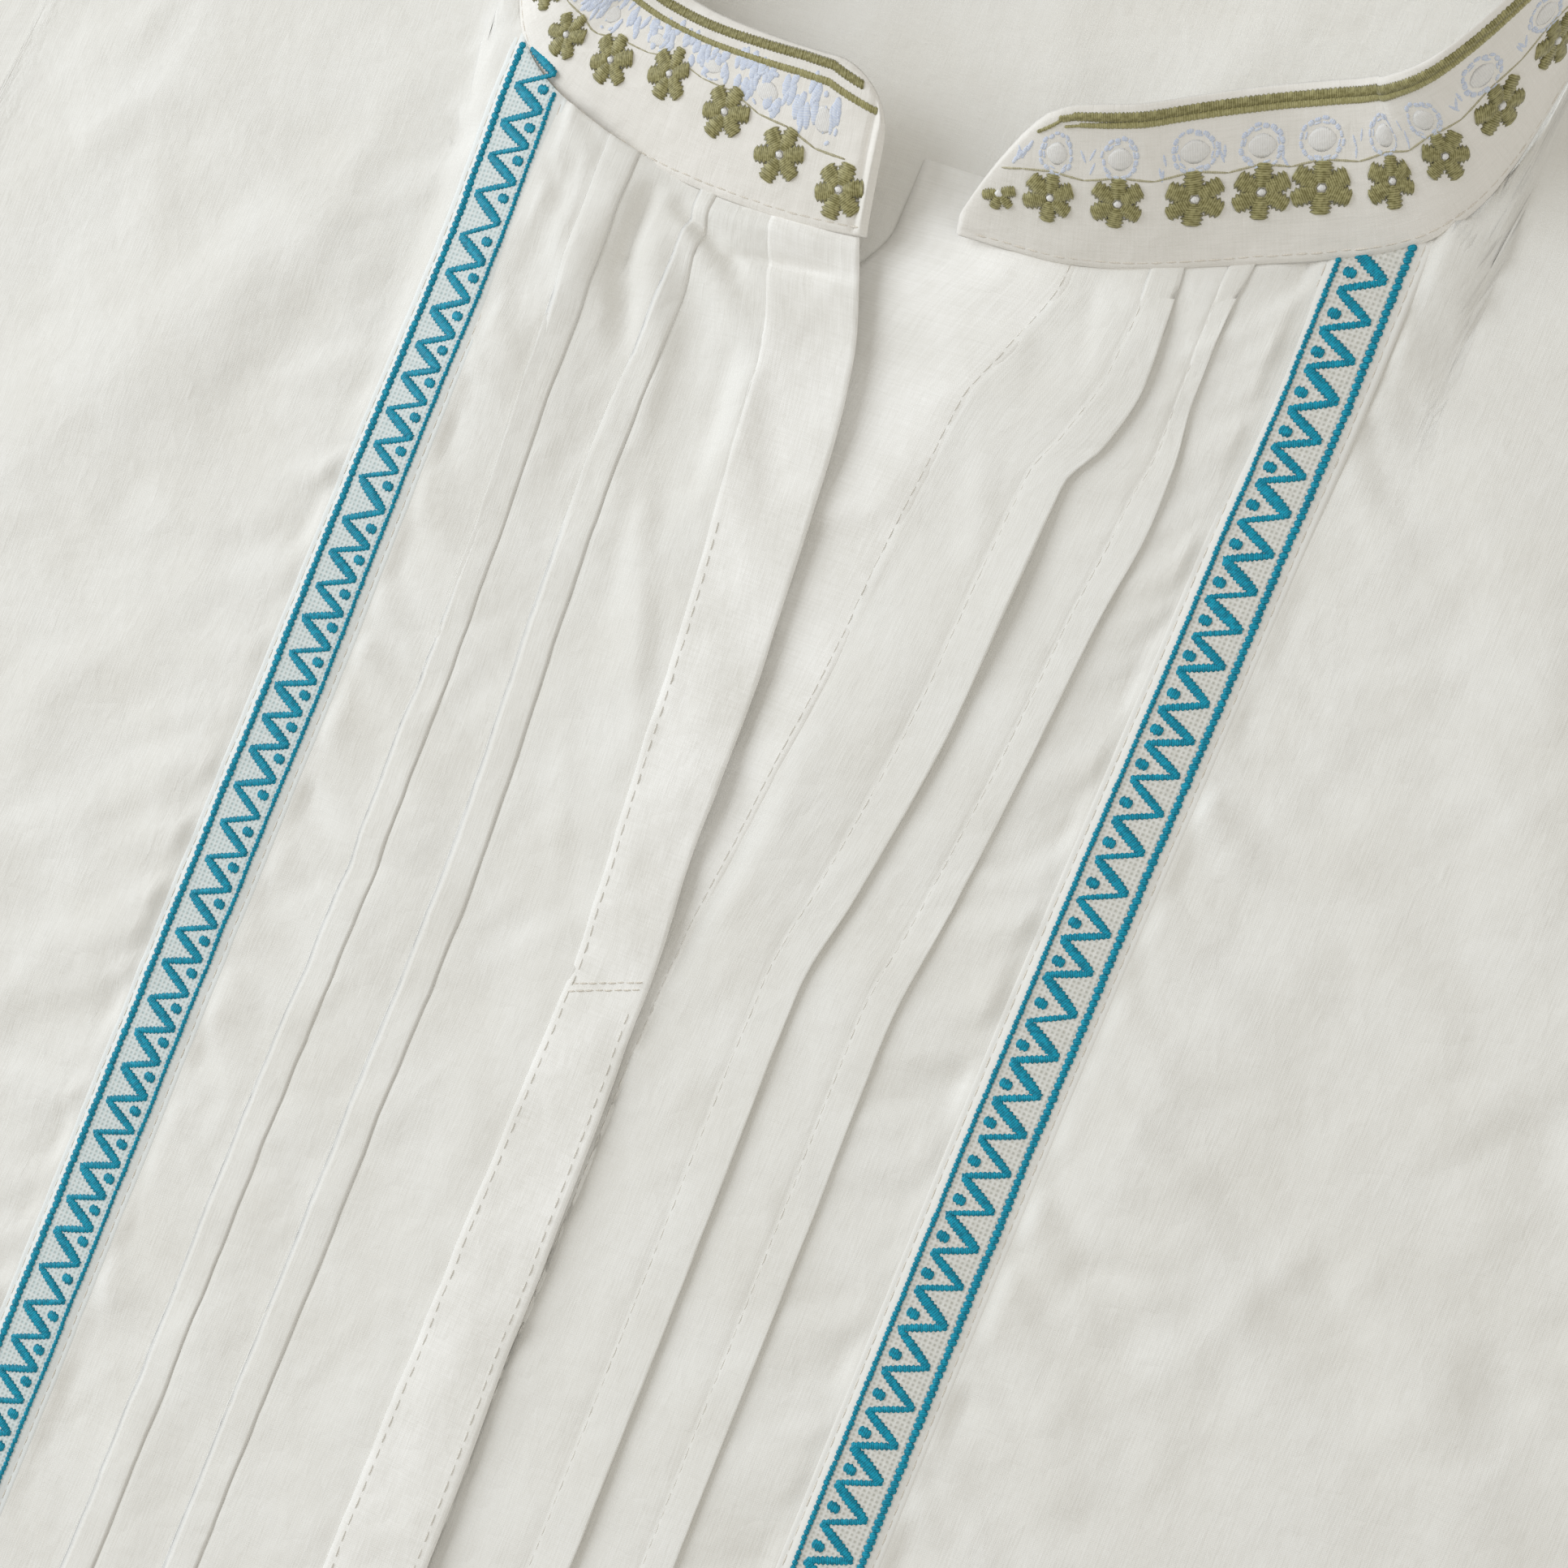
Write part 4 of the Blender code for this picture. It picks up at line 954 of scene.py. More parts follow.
# ---- plackets ---------------------------------------------------------------
def placket_top_surface(count=18):
    seam_top = float(top_of_line(-1, PLACKET_SEAM))
    edge_top = float(neck_y(-1, -PLACKET_END))
    cols = []
    for k in range(count + 1):
        f = k / count
        top = seam_top + (edge_top - seam_top) * f + 1.0
        y = rows_to(top)
        x0 = -PLACKET_SEAM - 0.5 + laid_shift(-1, PLACKET_SEAM, y)
        x1 = PLACKET_EDGE + read(SHIFT_LEFT, "y", y, "edge")
        x1 = x1 + 0.35 * field(y, y * 0.0, 17.0, 81) * smooth(-560, -40, y)
        x = x0 + (x1 - x0) * f
        reach = PLACKET_SEAM + 0.5 - (PLACKET_SEAM + PLACKET_EDGE) * f
        rough0 = roughness(-1, PLACKET_SEAM, x0, y, seam_top)
        rough = roughness(-1, reach, x, y, seam_top)
        wave0 = ridges(FOLDS, x0, y) + ridges(CREASES, x0, y)
        wave = ridges(FOLDS, x, y) + ridges(CREASES, x, y)
        # above the slit's foot the seam is hidden in the wrinkles
        step = 0.10 + 0.20 * smooth(-30.0, -110.0, y)
        z0 = front_top(-1, PLACKET_SEAM, x0, y, seam_top) + step - rough0 - wave0
        z1 = TOP_LOW + 1.55
        z1 = z1 + NECK_RISE * 0.42 * np.exp(-((top - y) / NECK_REACH) ** 2)
        z = z0 + (z1 - z0) * smooth(0.0, 1.0, f)
        z = z + 0.25 * smooth(-30.0, -110.0, y) * (4 * f * (1 - f)) ** 0.6
        low = 1.0 - 0.45 * smooth(0.45, 1.0, f)
        z = z + (rough + wave) * low
        z = z + seam_pucker((f - 0.08) * 15.0, y, 4.6, 0.17, 3.5, 85) \
            * smooth(-30.0, -70.0, y) * float(smooth(0.0, 0.10, f))
        z = z + seam_pucker((0.9 - f) * 15.0, y, 5.4, 0.13, 3.0, 87) \
            * smooth(-126.0, -140.0, y)
        # the end of the slit is held by the bar tack
        tack = np.exp(-((y + 131.0) / 2.6) ** 2)
        z = z - 0.45 * tack
        z = np.maximum(z, TOP_LOW - 0.2)
        if k == 0:
            z = z - 0.10 * (1.0 - smooth(-34.0, -90.0, y))
        cols.append(np.stack([x, y, z], axis=1))
    return np.array(cols)


UNDER_ROLL = 13.0       # the neck edge of the under strip falls away inwards


def placket_under_surface(count=20, roll=9):
    seam_top = float(top_of_line(1, UNDER_SEAM))
    edge_top = float(neck_y(1, UNDER_END))
    cols = []
    for k in range(-roll, count + 1):
        f = max(k, 0) / count
        out = -min(k, 0) / roll
        neck = edge_top + (seam_top - edge_top) * f + 1.0
        top = neck + 13.0 * float(1.0 - smooth(0.0, 0.4, f))
        y = rows_to(top)
        x0 = -PLACKET_SEAM + GAP + read(SHIFT_RIGHT, "y", y, "under")
        x1 = UNDER_SEAM + 0.5 + laid_shift(1, UNDER_SEAM, y)
        extra = 0.25 + UNDER_ROLL * smooth(-34.0, 10.0, y)
        x = x0 + (x1 - x0) * f - extra * out
        reach = -PLACKET_SEAM + (PLACKET_SEAM + UNDER_SEAM) * f
        rough1 = roughness(1, UNDER_SEAM, x1, y, seam_top)
        rough = roughness(1, reach, x, y, seam_top)
        z1 = front_top(1, UNDER_SEAM, x1, y, seam_top) + 0.03 - rough1
        near = np.exp(-(np.maximum(neck - y, 0.0) / (0.7 * NECK_REACH)) ** 2)
        low = UNDER_LOW + 0.55
        z0 = low + (z1 - low) * near
        z = z0 + (z1 - z0) * smooth(0.15, 1.0, f) ** 1.2
        # a fold across the strip beside the slit
        cross = y + 34.0 - 0.42 * (x + 0.5)
        puff = (0.5 + 0.5 * np.tanh(cross / 0.9)) * np.exp(
            -np.maximum(cross, 0.0) / 22.0)
        z = z + 0.85 * puff * smooth(-0.1, 0.3, f) * (1.0 - smooth(0.7, 1.0, f))
        z = z + rough * (0.45 + 0.55 * smooth(0.2, 1.0, f))
        z = np.maximum(z, UNDER_LOW + 0.15)
        away = extra * (1.0 - out) + (x1 - x0) * f
        span = extra + 0.5 * (x1 - x0)
        drop = np.clip(1.0 - away / span, 0.0, 1.0) ** 1.25
        z = z + (1.15 - z) * drop * smooth(-34.0, 0.0, y)
        over = smooth(0.0, 14.0, y - neck + 1.0) * float(
            1.0 - smooth(0.0, 0.4, f))
        z = z + (1.15 - z) * over
        if k == count:
            z = z - 0.12
        z = z + seam_pucker((0.9 - f) * 15.0, y, 4.8, 0.14, 3.5, 93) \
            * float(smooth(1.0, 0.90, f))
        cols.append(np.stack([x, y, z], axis=1))
    return np.array(cols)


# ---- trims ------------------------------------------------------------------
def trim_point(side, across, y, lift=0.0):
    """Point of the trim; across runs left to right from its middle."""
    across, y = np.broadcast_arrays(np.asarray(across, float),
                                    np.asarray(y, float))
    reach = BAND[side] + side * across
    x = side * reach + laid_shift(side, reach, y)
    top = top_of_line(side, np.full(1, BAND[side]))[0]
    z = front_top(side, reach, x, y, top)
    edge = smooth(TRIM_HALF, TRIM_HALF - 3.6, np.abs(across))
    groove = np.exp(-((np.abs(across) - BORDER - 1.9) / 0.35) ** 2)
    dip = smooth(TRIM_HALF - 0.5, TRIM_HALF, np.abs(across))
    z = z + 0.10 + 0.46 * edge - 0.16 * groove - 0.24 * dip
    return np.stack([x, y, z + lift], axis=-1)


def trim_surface(side):
    half = np.array([0.0, 1.8, 3.6, 5.2, 6.2, 6.8, 7.3, 7.65, 8.0, 8.5, 9.0])
    across = np.concatenate([-half[:0:-1], half])
    cols, uvs = [], []
    for a in across:
        reach = BAND[side] + side * a
        top = float(top_of_line(side, reach)) + 1.0
        y = rows_to(top)
        cols.append(trim_point(side, a, y))
        uvs.append(np.stack([np.full(len(y), a), y, 0 * y], axis=1))
    return np.array(cols), np.array(uvs)


# ---- small threads ----------------------------------------------------------
class Threads:
    """Collects many small thread shapes into one mesh."""

    def __init__(self):
        self.verts, self.quads, self.tris, self.cloth = [], [], [], []
        self.count = 0

    def add(self, verts, quads, tris, cloth):
        verts = np.asarray(verts, float)
        if len(quads):
            self.quads.append(np.asarray(quads) + self.count)
        if len(tris):
            self.tris.append(np.asarray(tris) + self.count)
        self.verts.append(verts)
        self.cloth.append(np.asarray(cloth, float))
        self.count += len(verts)

    def make(self, name, material):
        quads = np.concatenate(self.quads) if self.quads else []
        tris = np.concatenate(self.tris) if self.tris else []
        return finish_mesh(name, np.concatenate(self.verts), quads, material,
                           np.concatenate(self.cloth), tris=tris, sharp=0)


def tube_batch(threads, centre, along, up, half_len, half_wide, half_high,
               steps=(-1.0, -0.72, 0.0, 0.72, 1.0), sides=6, seed=0.0):
    """Many short spindles at once. Each argument holds one row a spindle."""
    m = len(centre)
    along = along / np.linalg.norm(along, axis=1, keepdims=True)
    up = up - (up * along).sum(1, keepdims=True) * along
    up = up / np.linalg.norm(up, axis=1, keepdims=True)
    across = np.cross(along, up)
    rings, uvs = [], []
    inner = steps[1:-1]
    for s in inner:
        swell = math.sqrt(max(0.0, 1.0 - s * s)) if abs(s) < 1 else 0.0
        swell = max(swell, 0.55)
        for k in range(sides):
            g = 2 * math.pi * k / sides
            p = (centre + along * (s * half_len)[:, None]
                 + across * (math.cos(g) * swell * half_wide)[:, None]
                 + up * (math.sin(g) * swell * half_high)[:, None])
            rings.append(p)
            uvs.append(np.stack([s * half_len + seed,
                                 np.full(m, g), half_len * 0 + centre[:, 1]],
                                axis=1))
    ends = [centre + along * (steps[0] * half_len)[:, None],
            centre + along * (steps[-1] * half_len)[:, None]]
    for e, s in zip(ends, (steps[0], steps[-1])):
        rings.append(e)
        uvs.append(np.stack([s * half_len + seed, half_len * 0,
                             centre[:, 1]], axis=1))
    n = len(rings)
    verts = np.stack(rings, axis=1).reshape(-1, 3)
    cloth = np.stack(uvs, axis=1).reshape(-1, 3)
    quads, tris = [], []
    ni = len(inner)
    for i in range(ni - 1):
        for k in range(sides):
            k2 = (k + 1) % sides
            quads.append((i * sides + k, i * sides + k2,
                          (i + 1) * sides + k2, (i + 1) * sides + k))
    first, last = ni * sides, ni * sides + 1
    for k in range(sides):
        k2 = (k + 1) % sides
        tris.append((first, k2, k))
        tris.append((last, (ni - 1) * sides + k, (ni - 1) * sides + k2))
    base = (np.arange(m) * n)[:, None, None]
    threads.add(verts, (np.array(quads)[None] + base).reshape(-1, 4),
                (np.array(tris)[None] + base).reshape(-1, 3), cloth)


def along_line(points, pitch, length, start=0.0):
    """Middles and directions of stitches set along a dense line."""
    marks = np.concatenate([[0.0], np.cumsum(np.linalg.norm(
        np.diff(points, axis=0), axis=1))])
    total = marks[-1]
    mids = np.arange(start + length / 2, total - length / 2, pitch)

    def at(s):
        return np.stack([np.interp(s, marks, points[:, i]) for i in range(3)],
                        axis=1)
    a, b = at(mids - length / 2), at(mids + length / 2)
    return 0.5 * (a + b), b - a


def stitch_run(threads, points, pitch=3.4, length=2.35, wide=0.17, high=0.14,
               start=0.0, up=(0.0, 0.0, 1.0), seed=5):
    mid, direction = along_line(points, pitch, length, start)
    if not len(mid):
        return
    rng = np.random.RandomState(seed)
    m = len(mid)
    mid = mid + rng.uniform(-0.07, 0.07, (m, 3)) * (1, 1, 0.3)
    ups = np.tile(np.asarray(up, float), (m, 1)) if np.ndim(up) == 1 \
        else np.stack([np.interp(np.linspace(0, 1, m),
                                 np.linspace(0, 1, len(up)), up[:, i])
                       for i in range(3)], axis=1)
    tube_batch(threads, mid, direction, ups,
               np.full(m, length / 2) * rng.uniform(0.9, 1.06, m),
               np.full(m, wide), np.full(m, high), sides=5,
               steps=(-1.0, -0.8, 0.0, 0.8, 1.0))


CROSS = np.array([-1.0, -0.62, 0.0, 0.62, 1.0])
DOME = np.sqrt(1.0 - CROSS**2)


def satin(threads, surface, start, end, width, high=0.30, steps=None,
          serrate=0.10, taper=0.0, pad=0.0, blunt=0.22):
    """Padded satin stroke from start to end in the surface's own plan."""
    start, end = np.asarray(start, float), np.asarray(end, float)
    d = end - start
    length = float(np.hypot(*d))
    d = d / length
    q = np.array([-d[1], d[0]])
    if steps is None:
        steps = max(4, int(length / 0.42))
    t = np.linspace(0.0, 1.0, steps + 1)
    body = np.sin(np.pi * np.clip(t, 0.03, 0.97)) ** blunt
    odd = np.arange(steps + 1) % 2
    w = width / 2 * (1.0 - taper * np.abs(2 * t - 1) ** 2) * body
    w = w * np.where(odd, 1.0 + serrate, 1.0 - serrate)
    flat = (start + d * (length * t)[:, None])[:, None, :] \
        + q * (w[:, None] * CROSS[None, :])[..., None]
    lift = pad + high * DOME[None, :] * body[:, None] \
        * np.where(odd, 1.0, 0.86)[:, None]
    lift[:, 0] = lift[:, -1] = -0.05
    under = start + d * (length * t)[:, None]
    a = np.concatenate([flat[..., 0].ravel(), under[:, 0]])
    b = np.concatenate([flat[..., 1].ravel(), under[:, 1]])
    up = np.concatenate([lift.ravel(), np.full(steps + 1, -0.12)])
    verts = surface(a, b, up)
    cloth = np.stack([np.concatenate([np.repeat(length * t, 5), length * t]),
                      np.concatenate([(w[:, None] * CROSS).ravel(), 0 * t]),
                      b], axis=1)
    n, low = 5, 5 * (steps + 1)
    i = np.arange(steps)
    quads = [np.stack([i * n + k, i * n + k + 1, (i + 1) * n + k + 1,
                       (i + 1) * n + k], 1) for k in range(n - 1)]
    quads.append(np.stack([i * n, (i + 1) * n, low + i + 1, low + i], 1))
    quads.append(np.stack([(i + 1) * n + n - 1, i * n + n - 1, low + i,
                           low + i + 1], 1))
    e, le = steps * n, low + steps
    tris = [(k, low, k + 1) for k in range(4)]
    tris += [(e + k + 1, le, e + k) for k in range(4)]
    threads.add(verts, np.concatenate(quads), tris, cloth)


def table_surface(point, a_range, b_range, step):
    """Read a surface from a dense table of it, for many small threads."""
    na = int(round((a_range[1] - a_range[0]) / step)) + 1
    nb = int(round((b_range[1] - b_range[0]) / step)) + 1
    ga = np.linspace(*a_range, na)
    gb = np.linspace(*b_range, nb)
    ga2, gb2 = np.meshgrid(ga, gb, indexing="ij")
    low, high = point(ga2, gb2, 0.0), point(ga2, gb2, 1.0)
    normal = high - low

    def surface(a, b, lift):
        fa = np.clip((a - a_range[0]) / (ga[1] - ga[0]), 0, na - 1.001)
        fb = np.clip((b - b_range[0]) / (gb[1] - gb[0]), 0, nb - 1.001)
        i, j = fa.astype(int), fb.astype(int)
        u, v = (fa - i)[..., None], (fb - j)[..., None]

        def mix(g):
            return ((g[i, j] * (1 - u) + g[i + 1, j] * u) * (1 - v)
                    + (g[i, j + 1] * (1 - u) + g[i + 1, j + 1] * u) * v)
        return mix(low) + mix(normal) * np.asarray(lift)[..., None]
    return surface


# ---- woven pattern of the trims --------------------------------------------
def trim_pattern(side):
    """Ropes, zigzag and dots. The same tape is laid upside down on the left."""
    threads = Threads()
    top = float(top_of_line(side, BAND[side])) + 0.2
    surface = table_surface(lambda a, y, lift: trim_point(side, a, y, lift),
                            (-8.0, 8.0), (HEM_Y, top + 8.0), 0.8)

    # borders: a fine rope on one side and a bolder one on the other
    fine, bold = -side * BORDER, side * BORDER
    for across, wide, pitch, lean, seed in ((fine, 0.54, 0.98, 0.30, 3),
                                            (bold, 0.84, 1.26, 0.42, 4)):
        rng = np.random.RandomState(100 + seed + side)
        line_top = float(top_of_line(side, BAND[side] + side * across))
        n = int((line_top - HEM_Y - 1.0) / pitch)
        y = line_top + 0.4 - pitch * (np.arange(n) + 0.5)
        y = y + rng.uniform(-0.08, 0.08, n)
        a = across + 0.10 * field(y, 0 * y, 9.0, 151) \
            + rng.uniform(-0.05, 0.05, n)
        p = surface(a, y, np.full(n, 0.16))
        d = np.tile([lean * (1 if across > 0 else -1), -1.0, 0.0], (n, 1))
        tube_batch(threads, p, d, np.tile([0.0, 0.0, 1.0], (n, 1)),
                   np.full(n, pitch * 0.62), np.full(n, wide)
                   * rng.uniform(0.86, 1.12, n), np.full(n, 0.34),
                   sides=6, steps=(-1.0, -0.6, 0.0, 0.6, 1.0), seed=seed)
    # zigzag: a thick stroke across, a thinner one back, and a dot
    rng = np.random.RandomState(210 + side)
    left, right = (-4.05, 3.7) if side > 0 else (-3.7, 4.05)
    y = float(top_of_line(side, BAND[side] + side * left)) + 2.0
    while y > HEM_Y + 9.0:
        k = rng.uniform(0.90, 1.10)
        if rng.uniform() < 0.14:
            k = 1.22
        jitter = rng.uniform(-0.28, 0.28, 4)
        bold_stroke = rng.uniform(0.80, 1.12)
        y1, y2 = y - 3.9 * k, y - 7.45 * k
        satin(threads, surface, (left + jitter[0], y),
              (right + jitter[1], y1), 2.2 * bold_stroke, high=0.40,
              taper=0.10, serrate=0.17, blunt=0.12)
        satin(threads, surface, (right + 0.2 + jitter[1], y1 + 0.1),
              (left - 0.1 + jitter[2], y2 + 0.1),
              1.35 * rng.uniform(0.8, 1.2), high=0.28, taper=0.1,
              serrate=0.20, blunt=0.10)
        dx = (-3.0 if side > 0 else 3.0) + 0.6 * jitter[3]
        dy = y - 4.1 * k if side > 0 else y + 0.25 * k
        satin(threads, surface, (dx - 1.2, dy + 0.15), (dx + 1.2, dy - 0.15),
              2.15, high=0.42, serrate=0.16, taper=0.1, blunt=0.2, steps=6)
        y = y2
    return threads


# ---- collar -----------------------------------------------------------------
def smooth_path(pts, per=8):
    out = []
    ext = [pts[0]] + pts + [pts[-1]]
    for i in range(1, len(ext) - 2):
        p0, p1, p2, p3 = (np.array(ext[k]) for k in range(i - 1, i + 3))
        for k in range(per):
            t = k / per
            out.append(0.5 * (2 * p1 + (p2 - p0) * t
                              + (2 * p0 - 5 * p1 + 4 * p2 - p3) * t**2
                              + (3 * p1 - p0 - 3 * p2 + p3) * t**3))
    out.append(np.array(pts[-1]))
    return np.array(out)


def seam_path():
    left = [(x, y) for x, y in zip(NECK_LEFT["x"][::-1], NECK_LEFT["y"][::-1])
            if x > -NECK_SIDE_X]
    right = [(x, y) for x, y in zip(NECK_RIGHT["x"], NECK_RIGHT["y"])
             if x < NECK_SIDE_X]
    back = [(x, y) for x, y in zip(NECK_BACK["x"], NECK_BACK["y"])
            if x < NECK_SIDE_X]
    corner = (NECK_SIDE_X - 0.2, 95.0)
    pts = left + [(-corner[0], corner[1])]
    pts += [(-x, y) for x, y in back[::-1]] + back[1:]
    pts += [corner] + right[::-1]
    return smooth_path(pts)


PATH = seam_path()
MARKS = np.concatenate([[0.0], np.cumsum(np.hypot(*np.diff(PATH, axis=0).T))])
AROUND = MARKS[-1]


def on_path(s):
    s = np.clip(s, 0.0, AROUND)
    return np.stack([np.interp(s, MARKS, PATH[:, i]) for i in (0, 1)], axis=-1)


RIGHT_END = table("d full", (0.0, 4.2), (1.2, 7.0), (3.7, 12.5), (6.6, 18.0),
                  (11.5, 25.4), (14.5, 28.4), (20.0, 30.3), (28.0, 31.0))


def collar_full(s):
    """Height of the band: a round left end, a long slanted right one."""
    c = np.clip(s, 0.0, COLLAR_ROUND)
    cut = COLLAR_ROUND - np.sqrt(COLLAR_ROUND**2 - (COLLAR_ROUND - c)**2)
    right = read(RIGHT_END, "d", AROUND - s, "full")
    return np.where(s < AROUND / 2, COLLAR_H - cut, right)


def collar_mid(s, h):
    """Middle of the collar band at s round the neck, h up the band."""
    s, h = np.broadcast_arrays(np.asarray(s, float), np.asarray(h, float))
    p = on_path(s)
    a, b = on_path(s - 3.0), on_path(s + 3.0)
    d = b - a
    d = d / np.maximum(np.linalg.norm(d, axis=-1, keepdims=True), 1e-9)
    inward = np.stack([d[..., 1], -d[..., 0]], axis=-1)
    share = s / AROUND
    lean = np.radians(read(COLLAR_SET, "share", share, "lean"))
    z = read(COLLAR_SET, "share", share, "height")
    reach = np.cos(lean) * h + read(COLLAR_SET, "share", share, "inset") - 0.5
    x = p[..., 0] + inward[..., 0] * reach
    y = p[..., 1] + inward[..., 1] * reach
    return np.stack([x, y, z + 0.25 + np.sin(lean) * h], axis=-1)


def collar_normal(s, h):
    t1 = collar_mid(s + 1.0, h) - collar_mid(s - 1.0, h)
    t2 = collar_mid(s, h + 0.5) - collar_mid(s, h - 0.5)
    n = np.cross(t2, t1)
    return n / np.maximum(np.linalg.norm(n, axis=-1, keepdims=True), 1e-9)


def collar_relief(s, h):
    """Soft swell of the band between its seam and its top edge."""
    full = collar_full(s)
    f = np.clip(h / full, 0.0, 1.0)
    swell = 0.45 * (4 * f * (1 - f)) ** 0.7
    soft = 0.22 * field(s, h, 13.0, 131) + 0.12 * field(s, h, 6.0, 133)
    pucker = seam_pucker(h - 1.6, s, 4.2, 0.12, 3.0, 135)
    groove = -0.20 * np.exp(-((h - 1.5) / 0.5) ** 2)
    # the left end is turned and topstitched to a firm rolled edge
    end = 0.55 * np.exp(-((s - 1.0) / 0.9) ** 2) \
        - 0.60 * np.exp(-((s - 2.7) / 0.6) ** 2)
    top_edge = 0.35 * np.exp(-((full - h - 0.9) / 0.8) ** 2)
    return (swell + (soft + pucker) * smooth(0.0, 3.0, h) + groove
            + (end + 0.0 * h) * (s < 20.0) + top_edge * (s < AROUND / 2))


def collar_face(s, h, lift=0.0):
    """Point on the outer, embroidered face of the collar."""
    s, h = np.asarray(s, float), np.asarray(h, float)
    n = collar_normal(s, h)
    out = COLLAR_WALL / 2 + collar_relief(s, h) + lift
    return collar_mid(s, h) + n * np.asarray(out)[..., None]


def build_collar():
    ends = np.array([0.0, 0.25, 0.6, 1.0, 1.4, 1.9, 2.3, 2.7, 3.1, 3.6, 4.4,
                     5.6, 7.2, 9.6, 12.0, 14.0])
    middle = np.linspace(14.0, AROUND - 14.0, 300)
    s = np.concatenate([ends[:-1], middle, AROUND - ends[:-1][::-1]])
    f = np.concatenate([[0.0, 0.012, 0.035], np.linspace(0.06, 0.94, 20),
                        [0.97, 0.99, 1.0]])
    ss = np.broadcast_to(s[:, None], (len(s), len(f)))
    hh = collar_full(ss) * f[None, :]
    n = collar_normal(ss, hh)
    mid = collar_mid(ss, hh)
    # both faces meet in the rounded edges of the band
    edge = np.minimum(np.minimum(f * 31.0, (1 - f) * 31.0)[None, :],
                      np.minimum(ss, AROUND - ss))
    thick = COLLAR_WALL / 2 * (0.35 + 0.65 * np.sqrt(
        np.clip(edge / 0.9, 0.0, 1.0) * (2 - np.clip(edge / 0.9, 0.0, 1.0))))
    relief = collar_relief(ss, hh)
    outer = mid + n * (thick + relief * smooth(0.0, 1.2, edge))[..., None]
    inner_relief = 0.25 * field(ss, hh, 15.0, 141) * smooth(0.0, 2.0, edge)
    inner = mid - n * (thick - 0.5 * relief * smooth(0.0, 1.2, edge)
                       + inner_relief)[..., None]
    uv = np.stack([ss, hh, 0 * hh], axis=-1)
    return shell("collar_cloth", outer, uv, COLLAR_WALL, COLLAR,
                 low=lambda top, nn: inner, sharp=0)


